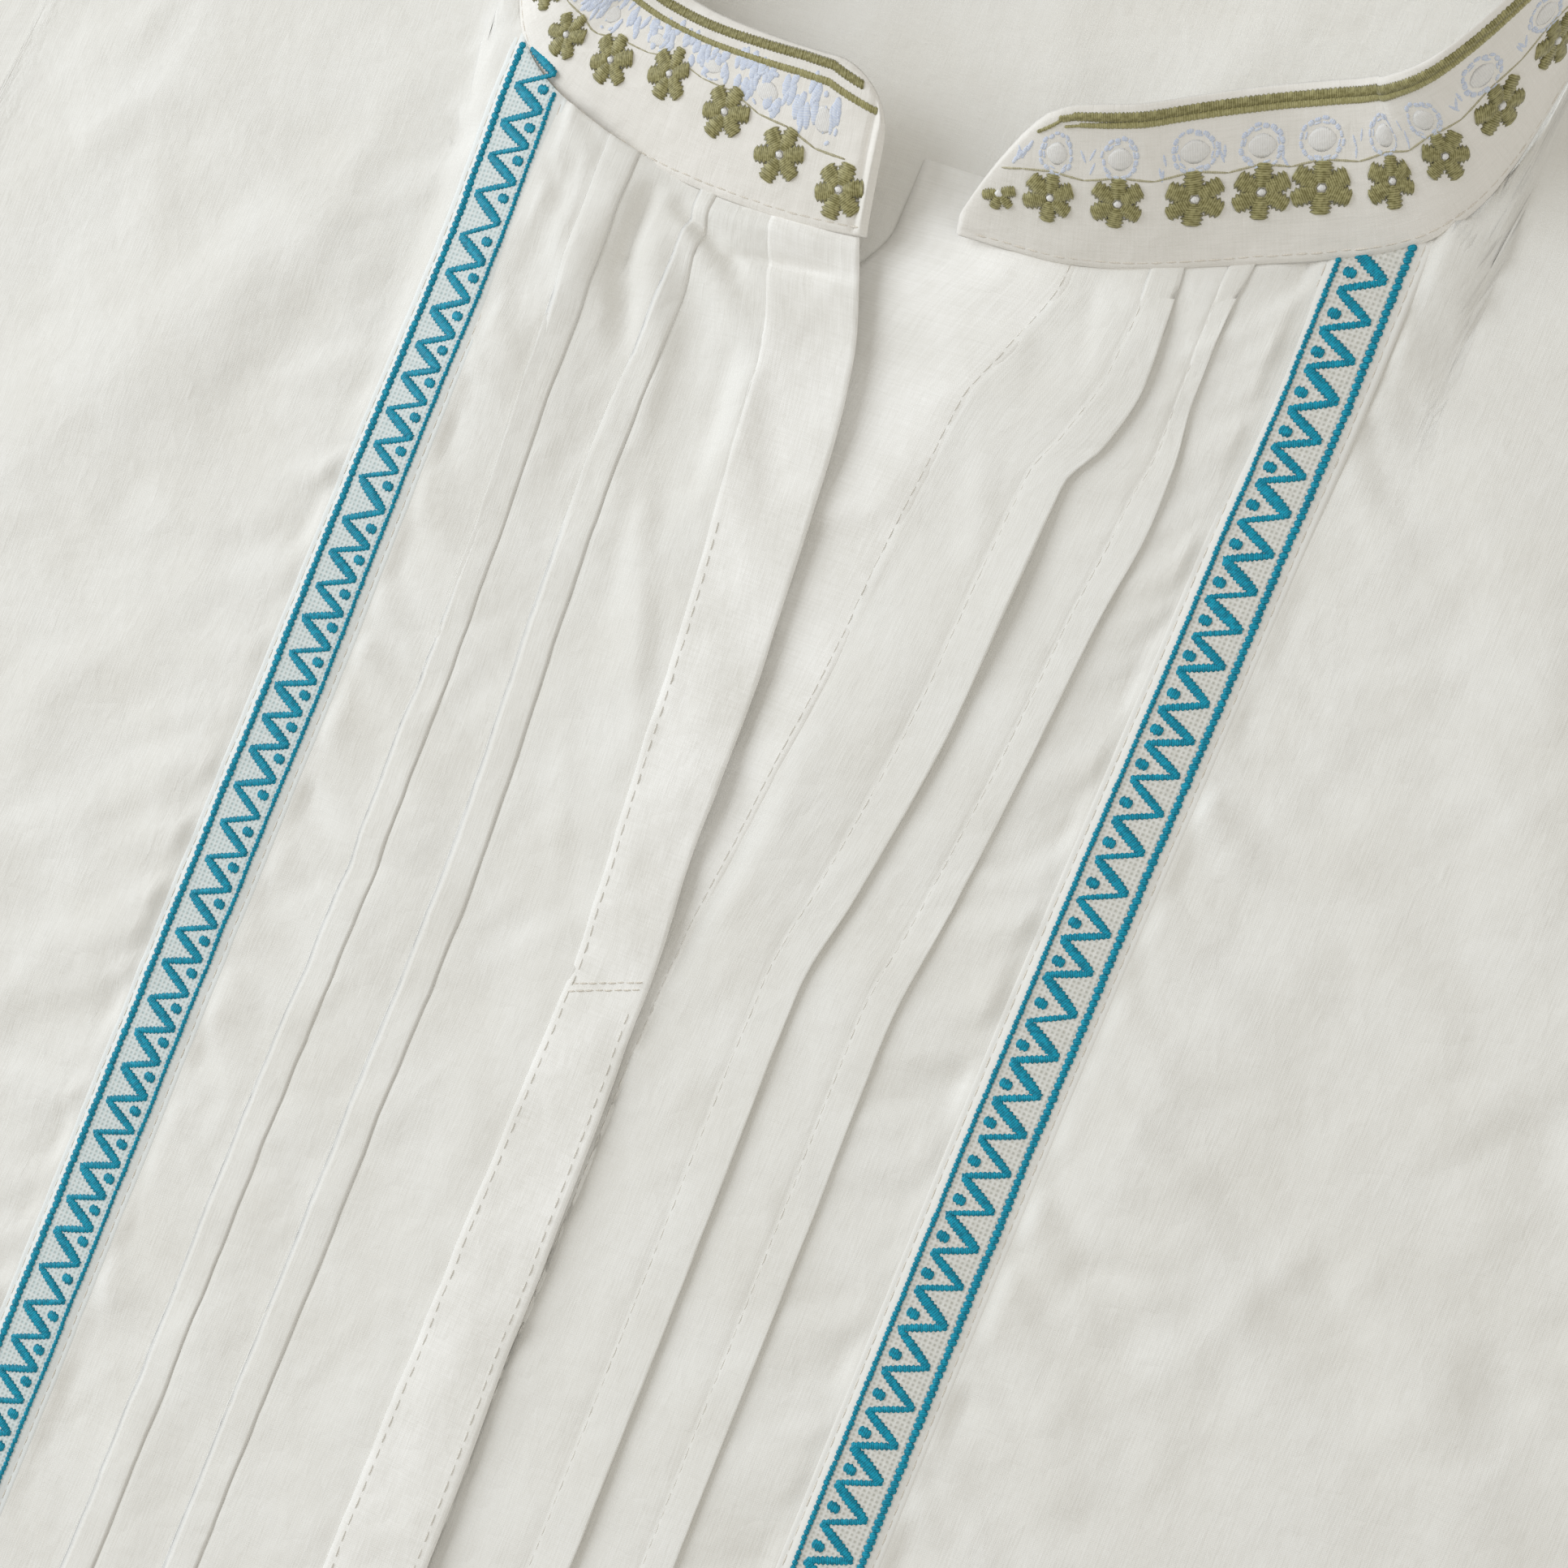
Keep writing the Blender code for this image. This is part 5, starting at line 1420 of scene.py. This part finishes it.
def collar_embroidery():
    """Border of small flowers, rings and a double line, worked by hand."""
    olive, sky, white, stem = Threads(), Threads(), Threads(), Threads()
    line = Threads()
    rng = np.random.RandomState(307)
    bare = table_surface(collar_face, (0.0, AROUND), (0.0, COLLAR_H), 0.7)

    def face(a, b, lift):
        """The border is not quite parallel to the seam at the left end."""
        low = np.interp(a, [0.0, 6.7, 20.9, 35.0, 51.0, 75.0],
                        [-3.6, -3.0, 0.4, 4.4, 6.4, 0.0])
        high = np.interp(a, [0.0, 3.0, 14.0, 22.0, 60.0],
                         [-2.6, -2.2, 1.2, 1.4, 0.0])
        share = smooth(10.0, 27.0, b)
        return bare(a, b + low + (high - low) * share, lift)

    def leaning(s0, h0, slope):
        """The surface round one flower, turned with the border."""
        low = float(np.interp(s0, [0.0, 6.7, 20.9, 35.0, 51.0, 75.0],
                              [-3.6, -3.0, 0.4, 4.4, 6.4, 0.0]))
        turn = math.atan(slope)
        ct, st = math.cos(turn), math.sin(turn)

        def local(a, b, lift):
            da, db = a - s0, b - h0
            return bare(s0 + da * ct - db * st, h0 + low + da * st + db * ct,
                        lift)
        return local

    def strokes_ring(threads, s0, h0, radius, width, parts, high, keep):
        for k in range(parts):
            g0 = 2 * math.pi * (k + 0.1) / parts
            g1 = 2 * math.pi * (k + 0.95) / parts
            if rng.uniform() > keep:
                continue
            r = radius * rng.uniform(0.92, 1.07)
            satin(threads, face,
                  (s0 + r * math.cos(g0), h0 + r * math.sin(g0)),
                  (s0 + r * math.cos(g1), h0 + r * math.sin(g1)),
                  width * rng.uniform(0.7, 1.25), high=high, steps=5)

    def flower(s0, h0, size, turn, wide=1.0, tall=1.0):
        near = leaning(s0, h0, 0.26 if s0 < 50.0 else 0.0)
        for k in range(6):
            g = math.radians(turn + 60 * k) + rng.uniform(-0.10, 0.10)
            if size < 0.9 and -0.3 < math.remainder(g, 2 * math.pi) < 1.8:
                continue
            r0, r1 = 0.9 * size, 5.35 * size * rng.uniform(0.92, 1.05)
            satin(olive, near,
                  (s0 + wide * r0 * math.cos(g), h0 + tall * r0 * math.sin(g)),
                  (s0 + wide * r1 * math.cos(g), h0 + tall * r1 * math.sin(g)),
                  3.7 * size * rng.uniform(0.92, 1.10), high=0.50, steps=10,
                  serrate=0.14, taper=-0.12 if k % 2 else 0.04, pad=0.12,
                  blunt=0.15)
        satin(white, near, (s0 - 0.75, h0), (s0 + 0.75, h0), 1.5, high=0.30,
              steps=5, pad=0.40, blunt=0.5)

    def ring(s0, h0, whole):
        strokes_ring(sky, s0, h0, 3.75, 0.95, 16, 0.16, 1.0 if whole else 0.5)
        if whole:
            strokes_ring(sky, s0, h0, 3.2, 0.5, 12, 0.12, 0.6)
        satin(white, face, (s0 - 2.5, h0), (s0 + 2.5, h0), 4.7,
              high=0.34 if whole else 0.16, steps=16, serrate=0.02, blunt=0.5)

    def end_at(h):
        """Distance along the neck at which the slanted right end is h high."""
        return float(np.interp(h, RIGHT_END["full"], RIGHT_END["d"]))

    left_at = [6.7, 20.9, 35.0, 51.0]
    right_at = [4.4, 17.3, 31.3, 46.1, 57.8, 68.6]
    for side in (-1, 1):
        # the left end cuts the pattern, the right end starts with a half one
        at = list(left_at if side < 0 else right_at)
        while at[-1] + 14.3 < AROUND / 2 - 4.0:
            at.append(at[-1] + 14.3)
        places = [d if side < 0 else AROUND - d for d in at]
        rest = 10.6 if side < 0 else 13.0
        for k, s0 in enumerate(places):
            half = side > 0 and k == 0
            if half:
                flower(AROUND - end_at(11.2) - 4.1, 11.2, 0.64, 95, 0.95, 1.0)
            else:
                flower(s0, rest + rng.uniform(-0.25, 0.25), 1.0,
                       90 if side < 0 else 93, 1.0 if side < 0 else 1.06,
                       1.0 if side < 0 else 0.93)
        for k, (s0, s1) in enumerate(zip(places, places[1:])):
            mid = 0.5 * (s0 + s1)
            up = rest + 5.1
            a0 = up - (1.8 if side > 0 and k == 0 else 0.0)
            if side > 0 and k == 0:
                s0 = AROUND - end_at(a0) - 1.2
            for a, b in (((s0, a0), (mid, up - 0.9)), ((mid, up - 0.9), (s1, up))):
                satin(stem, face, a, b, 0.5, high=0.16, steps=8)
        for k, s0 in enumerate(places):
            if side > 0 and k == 0:
                for j in range(4):
                    sj = AROUND - end_at(rest + 6.4 + 1.2 * j) - 1.4
                    satin(sky, face, (sj, rest + 4.8 + j),
                          (sj - 0.8, rest + 6.4 + 1.2 * j), 0.8,
                          high=0.12, steps=5)
                continue
            s1 = s0 + (6.6 if side < 0 else -0.3)
            ring(s1, (19.6 if side < 0 else 21.4) + rng.uniform(-0.3, 0.3),
                 side > 0)
            for j in range(20 if side < 0 else 3):
                ds = rng.uniform(-4.0, 10.4) if side < 0 else rng.uniform(5, 8)
                dh = rng.uniform(-4.6, 3.0) if side < 0 \
                    else rng.uniform(-3.4, 2.0)
                lean = rng.uniform(-1.3, 1.3)
                satin(sky, face, (s1 + ds, 20.0 + dh),
                      (s1 + ds + lean, 20.0 + dh + (
                          4.2 if side < 0 else 2.3)),
                      rng.uniform(1.4, 2.6) if side < 0 else 0.7,
                      high=0.13 if side < 0 else 0.06,
                      steps=6, blunt=0.5)
        # the double line near the top edge; on the right it starts in a point
        for name, width, near, threads in (
                ("low", 1.45, 2.6 if side < 0 else 19.0, line),
                ("high", 1.95, 6.2 if side < 0 else end_at(25.6) + 1.4,
                 olive)):
            far = AROUND / 2 + 1.0
            n = int((far - near) / 4.0)
            ds = np.linspace(near, far, n + 1)

            def height(d):
                if side < 0:
                    return 25.2 if name == "low" else 28.3
                if name == "low":
                    return 27.9 - 1.0 * math.exp(-(d - 19.0) / 5.0)
                return 29.2 - 4.4 * math.exp(-(d - near) / 3.0)
            for a, b in zip(ds, ds[1:]):
                ramp = 1.0 - 0.6 * math.exp(-(a - near) / 5.0) if side > 0 \
                    else 1.0
                sa, sb = (a, b) if side < 0 else (AROUND - a, AROUND - b)
                more = 0.4 if side < 0 else -0.4
                satin(threads, face, (sa - more, height(a)),
                      (sb + more, height(b)), width * ramp, high=0.34,
                      steps=11, serrate=0.12, blunt=0.05)
    return olive, sky, white, stem, line


# ---- back and sleeves -------------------------------------------------------
def back_surface():
    xs = list(np.linspace(0.0, NECK_SIDE_X, 34))
    tops = [(x, float(read(NECK_BACK, "x", x, "y"))) for x in xs]
    sx = np.linspace(NECK_SIDE_X + 2.5, TIP_X, 22)
    tops += [(x, float(shoulder_y(x))) for x in sx]
    ax, ay = armhole_points(22)
    tops += list(zip(ax[1:], ay[1:]))
    hems = np.concatenate([xs, np.linspace(NECK_SIDE_X + 3.0, HEM_HALF,
                                           len(tops) - len(xs))])
    share = np.concatenate([np.linspace(0.0, 0.82, 46),
                            np.linspace(0.83, 1.0, 40)])
    half = []
    for (tx, ty), hx in zip(tops, hems):
        y = HEM_Y + (ty - HEM_Y) * share
        t = (ty - y) / (ty - HEM_Y)
        half.append((tx + (hx - tx) * t, y, tx, ty))
    cols = []
    for sign, rows in ((-1, half[:0:-1]), (1, half)):
        for x, y, tx, ty in rows:
            px = sign * x
            lift = back_lift(px, y) * (0.8 if tx <= 200 else 0.0)
            z = THIN + 0.05 + lift
            hill = 0.5 + 0.5 * crumple(px, y, 90)
            side_x = ARMPIT_X + (HEM_HALF - ARMPIT_X) * (ARMPIT_Y - y) \
                / (ARMPIT_Y - HEM_Y)
            inside = smooth(0.0, 18.0, np.where(y < ARMPIT_Y, side_x - x,
                                                40.0))
            z = z + 0.42 * hill * inside
            if tx <= NECK_SIDE_X:
                # wrinkles that show in the neck opening
                z = z + 0.9 * np.exp(-((ty - y) / 6.0) ** 2)
                z = z + np.maximum(0.0, ridges(BACK_CREASES, px, y))
            cols.append(np.stack([px, y, z], axis=1))
    return np.array(cols)


BACK_CREASES = (("seam", -7.0, 92.0, -8.0, 20.0, 1.1, 0.45),
                ("a", 8.0, 86.0, 20.0, 30.0, 6.0, 0.8),
                ("b", -30.0, 84.0, -22.0, 40.0, 7.0, 0.7),
                ("c", 48.0, 86.0, 36.0, 48.0, 6.0, 0.8),
                ("d", -60.0, 80.0, -50.0, 40.0, 8.0, 0.7),
                ("e", 74.0, 84.0, 66.0, 60.0, 6.0, 0.6))


def armhole_share(share):
    xs, ys = ARMHOLE["x"], ARMHOLE["y"]
    marks = np.concatenate([[0.0], np.cumsum(np.hypot(np.diff(xs),
                                                      np.diff(ys)))])
    s = np.clip(share, 0.0, 1.0) * marks[-1]
    return np.interp(s, marks, xs), np.interp(s, marks, ys)


SLEEVE_CREASES = (("elbow_a", 430.0, -60.0, 380.0, -150.0, 10.0, 2.6),
                  ("elbow_b", 468.0, -100.0, 400.0, -200.0, 9.0, -1.6),
                  ("top_a", 232.0, 30.0, 300.0, -60.0, 12.0, 2.4),
                  ("top_b", 222.0, -20.0, 300.0, -120.0, 12.0, 2.2),
                  ("under", 262.0, -128.0, 340.0, -120.0, 10.0, 2.2),
                  ("run_a", 330.0, -30.0, 470.0, -160.0, 11.0, 2.4),
                  ("run_b", 330.0, -110.0, 460.0, -230.0, 10.0, 2.0),
                  ("cuff_a", 540.0, -190.0, 590.0, -240.0, 6.0, 1.8),
                  ("cuff_b", 510.0, -220.0, 575.0, -290.0, 7.0, 1.6),
                  ("cuff_c", 480.0, -240.0, 545.0, -310.0, 6.0, -1.2))


def sleeve_rings(side, inner):
    """Rings of points round the laid sleeve, from armhole to wrist."""
    shares = np.concatenate([[0.0, 0.006, 0.016], np.linspace(0.03, 1.0, 74)])
    n_top, n_edge, n_low = 42, 7, 26
    flat_top = np.linspace(-1, 1, n_top)
    rings = []
    for share in shares:
        tx, ty, ux, uy = (float(read(SLEEVE_SET, "share", share, k))
                          for k in ("top_x", "top_y", "under_x", "under_y"))
        half = math.hypot(ux - tx, uy - ty) / 2
        height = 2.5 + (SLEEVE_ROUND - 2.5) * float(smooth(0.0, 0.2, share))
        r = height / 2
        flat = half - r
        bend = max(0.0, 1.0 - share / 0.3)

        def place(a, z):
            f = 0.5 + 0.5 * a / half
            ax, ay = armhole_share(f)
            on_x = TIP_X + (ARMPIT_X - TIP_X) * f
            on_y = TIP_Y + (ARMPIT_Y - TIP_Y) * f
            px = tx + (ux - tx) * f + (ax - on_x) * bend + SLEEVE_GAP - 0.8
            py = ty + (uy - ty) * f + (ay - on_y) * bend
            return px, py, z
        t = THIN if inner else 0.0
        g = np.linspace(-np.pi / 2, np.pi / 2, n_edge + 2)[1:-1]
        low_a = np.linspace(-1, 1, n_low) * flat
        parts = [(low_a, np.full(n_low, t)),
                 (flat + (r - t) * np.cos(g), r + (r - t) * np.sin(g)),
                 (flat_top[::-1] * flat, np.full(n_top, height - t)),
                 (-flat - (r - t) * np.cos(g), r - (r - t) * np.sin(g))]
        ring = []
        for i, (a, z) in enumerate(parts):
            px, py, pz = place(a, z)
            if i == 2:
                wave = np.maximum(ridges(SLEEVE_CREASES, px, py), -1.6)
                rough = crumple(px, py, 50 if side > 0 else 70) * 1.3
                edge = 1.0 - np.abs(a / flat) ** 6
                seam = smooth(0.0, 0.03, share)
                hem = 1.0 - 0.6 * smooth(0.955, 0.985, share)
                pz = pz + (np.maximum(wave, -1.2) * hem + rough * 0.8) \
                    * edge * seam
                hem_step = 0.35 * smooth(0.968, 0.972, share)
                pz = pz + hem_step * edge
            if i in (1, 3):
                pz = pz + 0.0
            ring.append(np.stack([side * px, py + 0 * px, pz], axis=1))
        rings.append(np.concatenate(ring))
    return np.array(rings), shares


def build_sleeve(side, name):
    outer, shares = sleeve_rings(side, False)
    inner, _ = sleeve_rings(side, True)
    m, n = outer.shape[:2]
    verts = np.concatenate([outer.reshape(-1, 3), inner.reshape(-1, 3)])
    i, j = np.meshgrid(np.arange(m - 1), np.arange(n), indexing="ij")
    i, j = i.ravel(), j.ravel()
    k = (j + 1) % n
    a, b, c, d = i * n + j, i * n + k, (i + 1) * n + k, (i + 1) * n + j
    base = m * n
    quads = [np.stack([a, b, c, d], 1), np.stack([base + a, base + d, base + c,
                                                  base + b], 1)]
    j = np.arange(n)
    k = (j + 1) % n
    quads.append(np.stack([base + j, base + k, k, j], 1))
    e = (m - 1) * n
    quads.append(np.stack([e + j, e + k, base + e + k, base + e + j], 1))
    quads = np.concatenate(quads)
    if side > 0:
        quads = quads[:, ::-1]
    ring_len = np.concatenate([[0.0], np.cumsum(np.linalg.norm(
        np.diff(outer[m // 3], axis=0), axis=1))])
    cen = outer.mean(axis=1)
    run = np.concatenate([[0.0], np.cumsum(np.linalg.norm(
        np.diff(cen, axis=0), axis=1))])
    uv = np.zeros((m, n, 3))
    uv[..., 0] = ring_len[None, :]
    uv[..., 1] = run[:, None]
    cloth = np.concatenate([uv.reshape(-1, 3), uv.reshape(-1, 3)])
    obj = finish_mesh(name + "_cloth", verts, quads, COTTON, cloth, sharp=70)
    return obj, outer, shares


# ---- everything in place ----------------------------------------------------
def put(obj, slot, *nodes):
    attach(obj, "root")
    if nodes:
        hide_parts(*nodes)
    return obj


back_grid = back_surface()
back = put(shell("back_cloth", back_grid, cloth_uv(back_grid), THIN, COTTON,
                 sharp=0), "cotton_cloth", "back")
front_left, left_grid = build_front(-1)
put(front_left, "cotton_cloth", "front_left")
front_right, right_grid = build_front(1)
put(front_right, "cotton_cloth", "front_right")

top_strip = placket_top_surface()
placket_top = put(shell("placket_top_cloth", top_strip, cloth_uv(top_strip),
                        0.42, PLACKET, sharp=0), "placket_cloth",
                  "placket_top")
under_strip = placket_under_surface()
placket_under = put(shell("placket_under_cloth", under_strip,
                          cloth_uv(under_strip), 0.40, PLACKET, sharp=0),
                    "placket_cloth", "placket_under")

for side, name in ((-1, "trim_left"), (1, "trim_right")):
    grid, uv = trim_surface(side)
    put(shell(name + "_tape", grid, uv, 0.42,
                            CANVAS if side > 0 else CANVAS_LEFT, sharp=0),
                      "woven_trim", name)
    put(trim_pattern(side).make(name + "_pattern", TEAL), "woven_trim")

collar = put(build_collar(), "collar_cloth", "collar")
olive, sky, white, stem, line = collar_embroidery()
put(olive.make("collar_flowers", OLIVE), "embroidery_olive")
put(line.make("collar_line", OLIVE_PALE), "embroidery_olive")
put(sky.make("collar_rings", SKY), "embroidery_blue")
put(white.make("collar_domes", WHITE_FLOSS), "embroidery_blue")
put(stem.make("collar_stems", STEM), "embroidery_olive")

sleeves = {}
for side, name in ((-1, "sleeve_left"), (1, "sleeve_right")):
    obj, grid, shares = build_sleeve(side, name)
    sleeves[side] = (put(obj, "cotton_cloth", name), grid, shares)


# ---- seams and stitches -----------------------------------------------------
def front_line(side, reach, y, extra=0.0):
    y = np.asarray(y, float)
    reach = np.broadcast_to(np.asarray(reach, float), y.shape)
    top = float(top_of_line(side, float(np.mean(reach))))
    x = side * reach + laid_shift(side, reach, y)
    z = front_top(side, reach, x, y, top) + extra
    return np.stack([x, y, z], axis=1)


def stitches():
    warm, pale = Threads(), Threads()
    for side in (-1, 1):
        for name, a, b in TUCKS[side]:
            top = float(top_of_line(side, a)) - 0.5
            y = np.linspace(top, HEM_Y + 2.0, 700)
            t = 0.115
            p = front_line(side, a + (b - a) * t, y, tuck_top(name, t, y))
            stitch_run(warm, p, pitch=3.0, length=2.4, wide=0.13, high=0.09,
                       seed=int(a))
        band = BAND[side]
        for off in (-BORDER - 1.9, BORDER + 1.9):
            top = float(top_of_line(side, band + side * off)) - 0.5
            y = np.linspace(top, HEM_Y + 2.0, 700)
            p = trim_point(side, off, y, 0.03)
            stitch_run(pale, p, pitch=2.9, length=2.3, wide=0.16, high=0.10,
                       seed=int(band + off))
    # placket: its left seam, and its right edge below the slit
    ys = top_strip[2, :, 1][::-1]
    p = 0.55 * top_strip[1][::-1] + 0.45 * top_strip[2][::-1]
    p = p[p[:, 1] < -38.0]
    stitch_run(warm, p + (0, 0, 0.06), pitch=3.4, length=2.3, wide=0.17,
               seed=41)
    row = top_strip[-3][::-1]
    row = row[row[:, 1] < SLIT_END_Y - 5.0]
    stitch_run(warm, row + (0, 0, 0.06), pitch=3.4, length=2.3, wide=0.17,
               seed=42)
    p = 0.5 * under_strip[-3][::-1] + 0.5 * under_strip[-2][::-1]
    stitch_run(warm, p + (0, 0, 0.04), pitch=3.0, length=2.4, wide=0.13,
               high=0.09, seed=43)
    # bar tack across the foot of the slit
    mid = [i for i in range(top_strip.shape[1])
           if top_strip[0, i, 1] > SLIT_END_Y - 8.0][0]
    for shift, seed in ((0.0, 44), (1.5, 45)):
        start = np.array([top_strip[1, mid, 0], -134.5 + shift, 0.0])
        end = np.array([top_strip[-1, mid, 0] - 0.4, -128.2 + shift, 0.0])
        pts = []
        for f in np.linspace(0.0, 1.0, 40):
            q = start + (end - start) * f
            c = np.argmin(np.abs(top_strip[:, mid, 0] - q[0]))
            r = np.argmin(np.abs(top_strip[c, :, 1] - q[1]))
            pts.append((q[0], q[1], top_strip[c, r, 2] + 0.08))
        stitch_run(pale, np.array(pts), pitch=1.9, length=1.7, wide=0.2,
                   seed=seed)
    # collar: topstitching above the seam
    s = np.linspace(1.5, AROUND - 1.5, 900)
    p = collar_face(s, np.full_like(s, 1.35), 0.06)
    n = collar_normal(s, np.full_like(s, 1.35))
    stitch_run(pale, p, pitch=2.6, length=2.3, wide=0.2, up=n, seed=46)
    # hem of both fronts and the wrists
    for grid in (left_grid, right_grid):
        cols = []
        for col in grid:
            r = np.searchsorted(col[:, 1], HEM_Y + 13.0)
            cols.append(col[r] + (0, 0, 0.05))
        cols = np.array(cols)
        keep = np.abs(cols[:, 0]) > 9.0
        stitch_run(pale, cols[keep], pitch=3.4, length=2.3, wide=0.18,
                   seed=47)
    for side in (-1, 1):
        _, grid, shares = sleeves[side]
        ring = grid[np.searchsorted(shares, 0.962)]
        ring = np.concatenate([ring, ring[:1]])
        out = ring - ring[:-1].mean(axis=0)
        up = np.stack([0 * out[:, 0], 0 * out[:, 0],
                       np.sign(out[:, 2])], axis=1)
        stitch_run(pale, ring + up * 0.06, pitch=3.4, length=2.3, wide=0.18,
                   seed=48)
    return warm, pale


warm, pale = stitches()
put(warm.make("stitching", SEWING), "thread")
put(pale.make("stitching_pale", SEWING_PALE), "thread")


# ---- floor, light and camera ------------------------------------------------
floor_mesh = bpy.data.meshes.new("floor")
floor_mesh.from_pydata([(-3, -3, -0.0006), (3, -3, -0.0006), (3, 3, -0.0006),
                        (-3, 3, -0.0006)], [], [(0, 1, 2, 3)])
floor = bpy.data.objects.new("floor", floor_mesh)
bpy.context.scene.collection.objects.link(floor)
floor_mat, _, floor_shader = nodes_of("floor_paper")
floor_shader.inputs["Base Color"].default_value = (0.86, 0.86, 0.85, 1.0)
floor_shader.inputs["Roughness"].default_value = 0.9
floor_mesh.materials.append(floor_mat)


def area_light(name, place, target, size, power, colour):
    data = bpy.data.lights.new(name, "AREA")
    data.shape = "DISK"
    data.size = size
    data.energy = power
    data.color = colour
    obj = bpy.data.objects.new(name, data)
    place = world(np.array(place, float))
    target = world(np.array(target, float))
    back_dir = place - target
    back_dir = back_dir / np.linalg.norm(back_dir)
    side_dir = np.cross([0.0, 0.0, 1.0], back_dir)
    side_dir = side_dir / np.linalg.norm(side_dir)
    up_dir = np.cross(back_dir, side_dir)
    m = Matrix.Identity(4)
    for i in range(3):
        m[i][0], m[i][1], m[i][2] = side_dir[i], up_dir[i], back_dir[i]
        m[i][3] = place[i]
    obj.matrix_world = m
    bpy.context.scene.collection.objects.link(obj)
    return obj


ROLL = math.radians(22.8)
RIGHT = np.array([math.cos(ROLL), math.sin(ROLL), 0.0])
UP = np.array([-math.sin(ROLL), math.cos(ROLL), 0.0])
AIM = np.array([15.8, -82.0, 4.0])
key_dir = -0.80 * RIGHT + 0.42 * UP + np.array([0.0, 0.0, 0.54])
area_light("key", AIM + key_dir * 1500.0, AIM, 1.4, 19.2,
           (0.905, 0.95, 1.0))
fill_dir = 0.7 * RIGHT - 0.3 * UP + np.array([0.0, 0.0, 1.0])
area_light("fill", AIM + fill_dir * 1500.0, AIM, 1.6, 7.5, (1.0, 0.99, 0.97))

sky_world = bpy.data.worlds.new("studio")
bpy.context.scene.world = sky_world
sky_world.use_nodes = True
shade = sky_world.node_tree.nodes["Background"]
shade.inputs["Color"].default_value = (1.0, 0.965, 0.88, 1.0)
shade.inputs["Strength"].default_value = 0.40
bpy.context.scene.view_settings.view_transform = "Standard"
bpy.context.scene.view_settings.look = "None"

TILT = math.radians(15.0)
LENS = 50.0
DISTANCE = LENS / 36.0 * 1932.0 / 6.5
back_axis = np.array([math.sin(TILT), 0.0, math.cos(TILT)])
up_axis = UP - np.dot(UP, back_axis) * back_axis
up_axis = up_axis / np.linalg.norm(up_axis)
right_axis = np.cross(up_axis, back_axis)
cam_data = bpy.data.cameras.new("camera")
cam_data.lens = LENS
cam_data.sensor_width = 36.0
cam_data.clip_start = 0.01
cam = bpy.data.objects.new("camera", cam_data)
spot = world(AIM + back_axis * DISTANCE)
pose = Matrix.Identity(4)
for i in range(3):
    pose[i][0], pose[i][1], pose[i][2] = right_axis[i], up_axis[i], back_axis[i]
    pose[i][3] = spot[i]
cam.matrix_world = pose
bpy.context.scene.collection.objects.link(cam)
bpy.context.scene.camera = cam
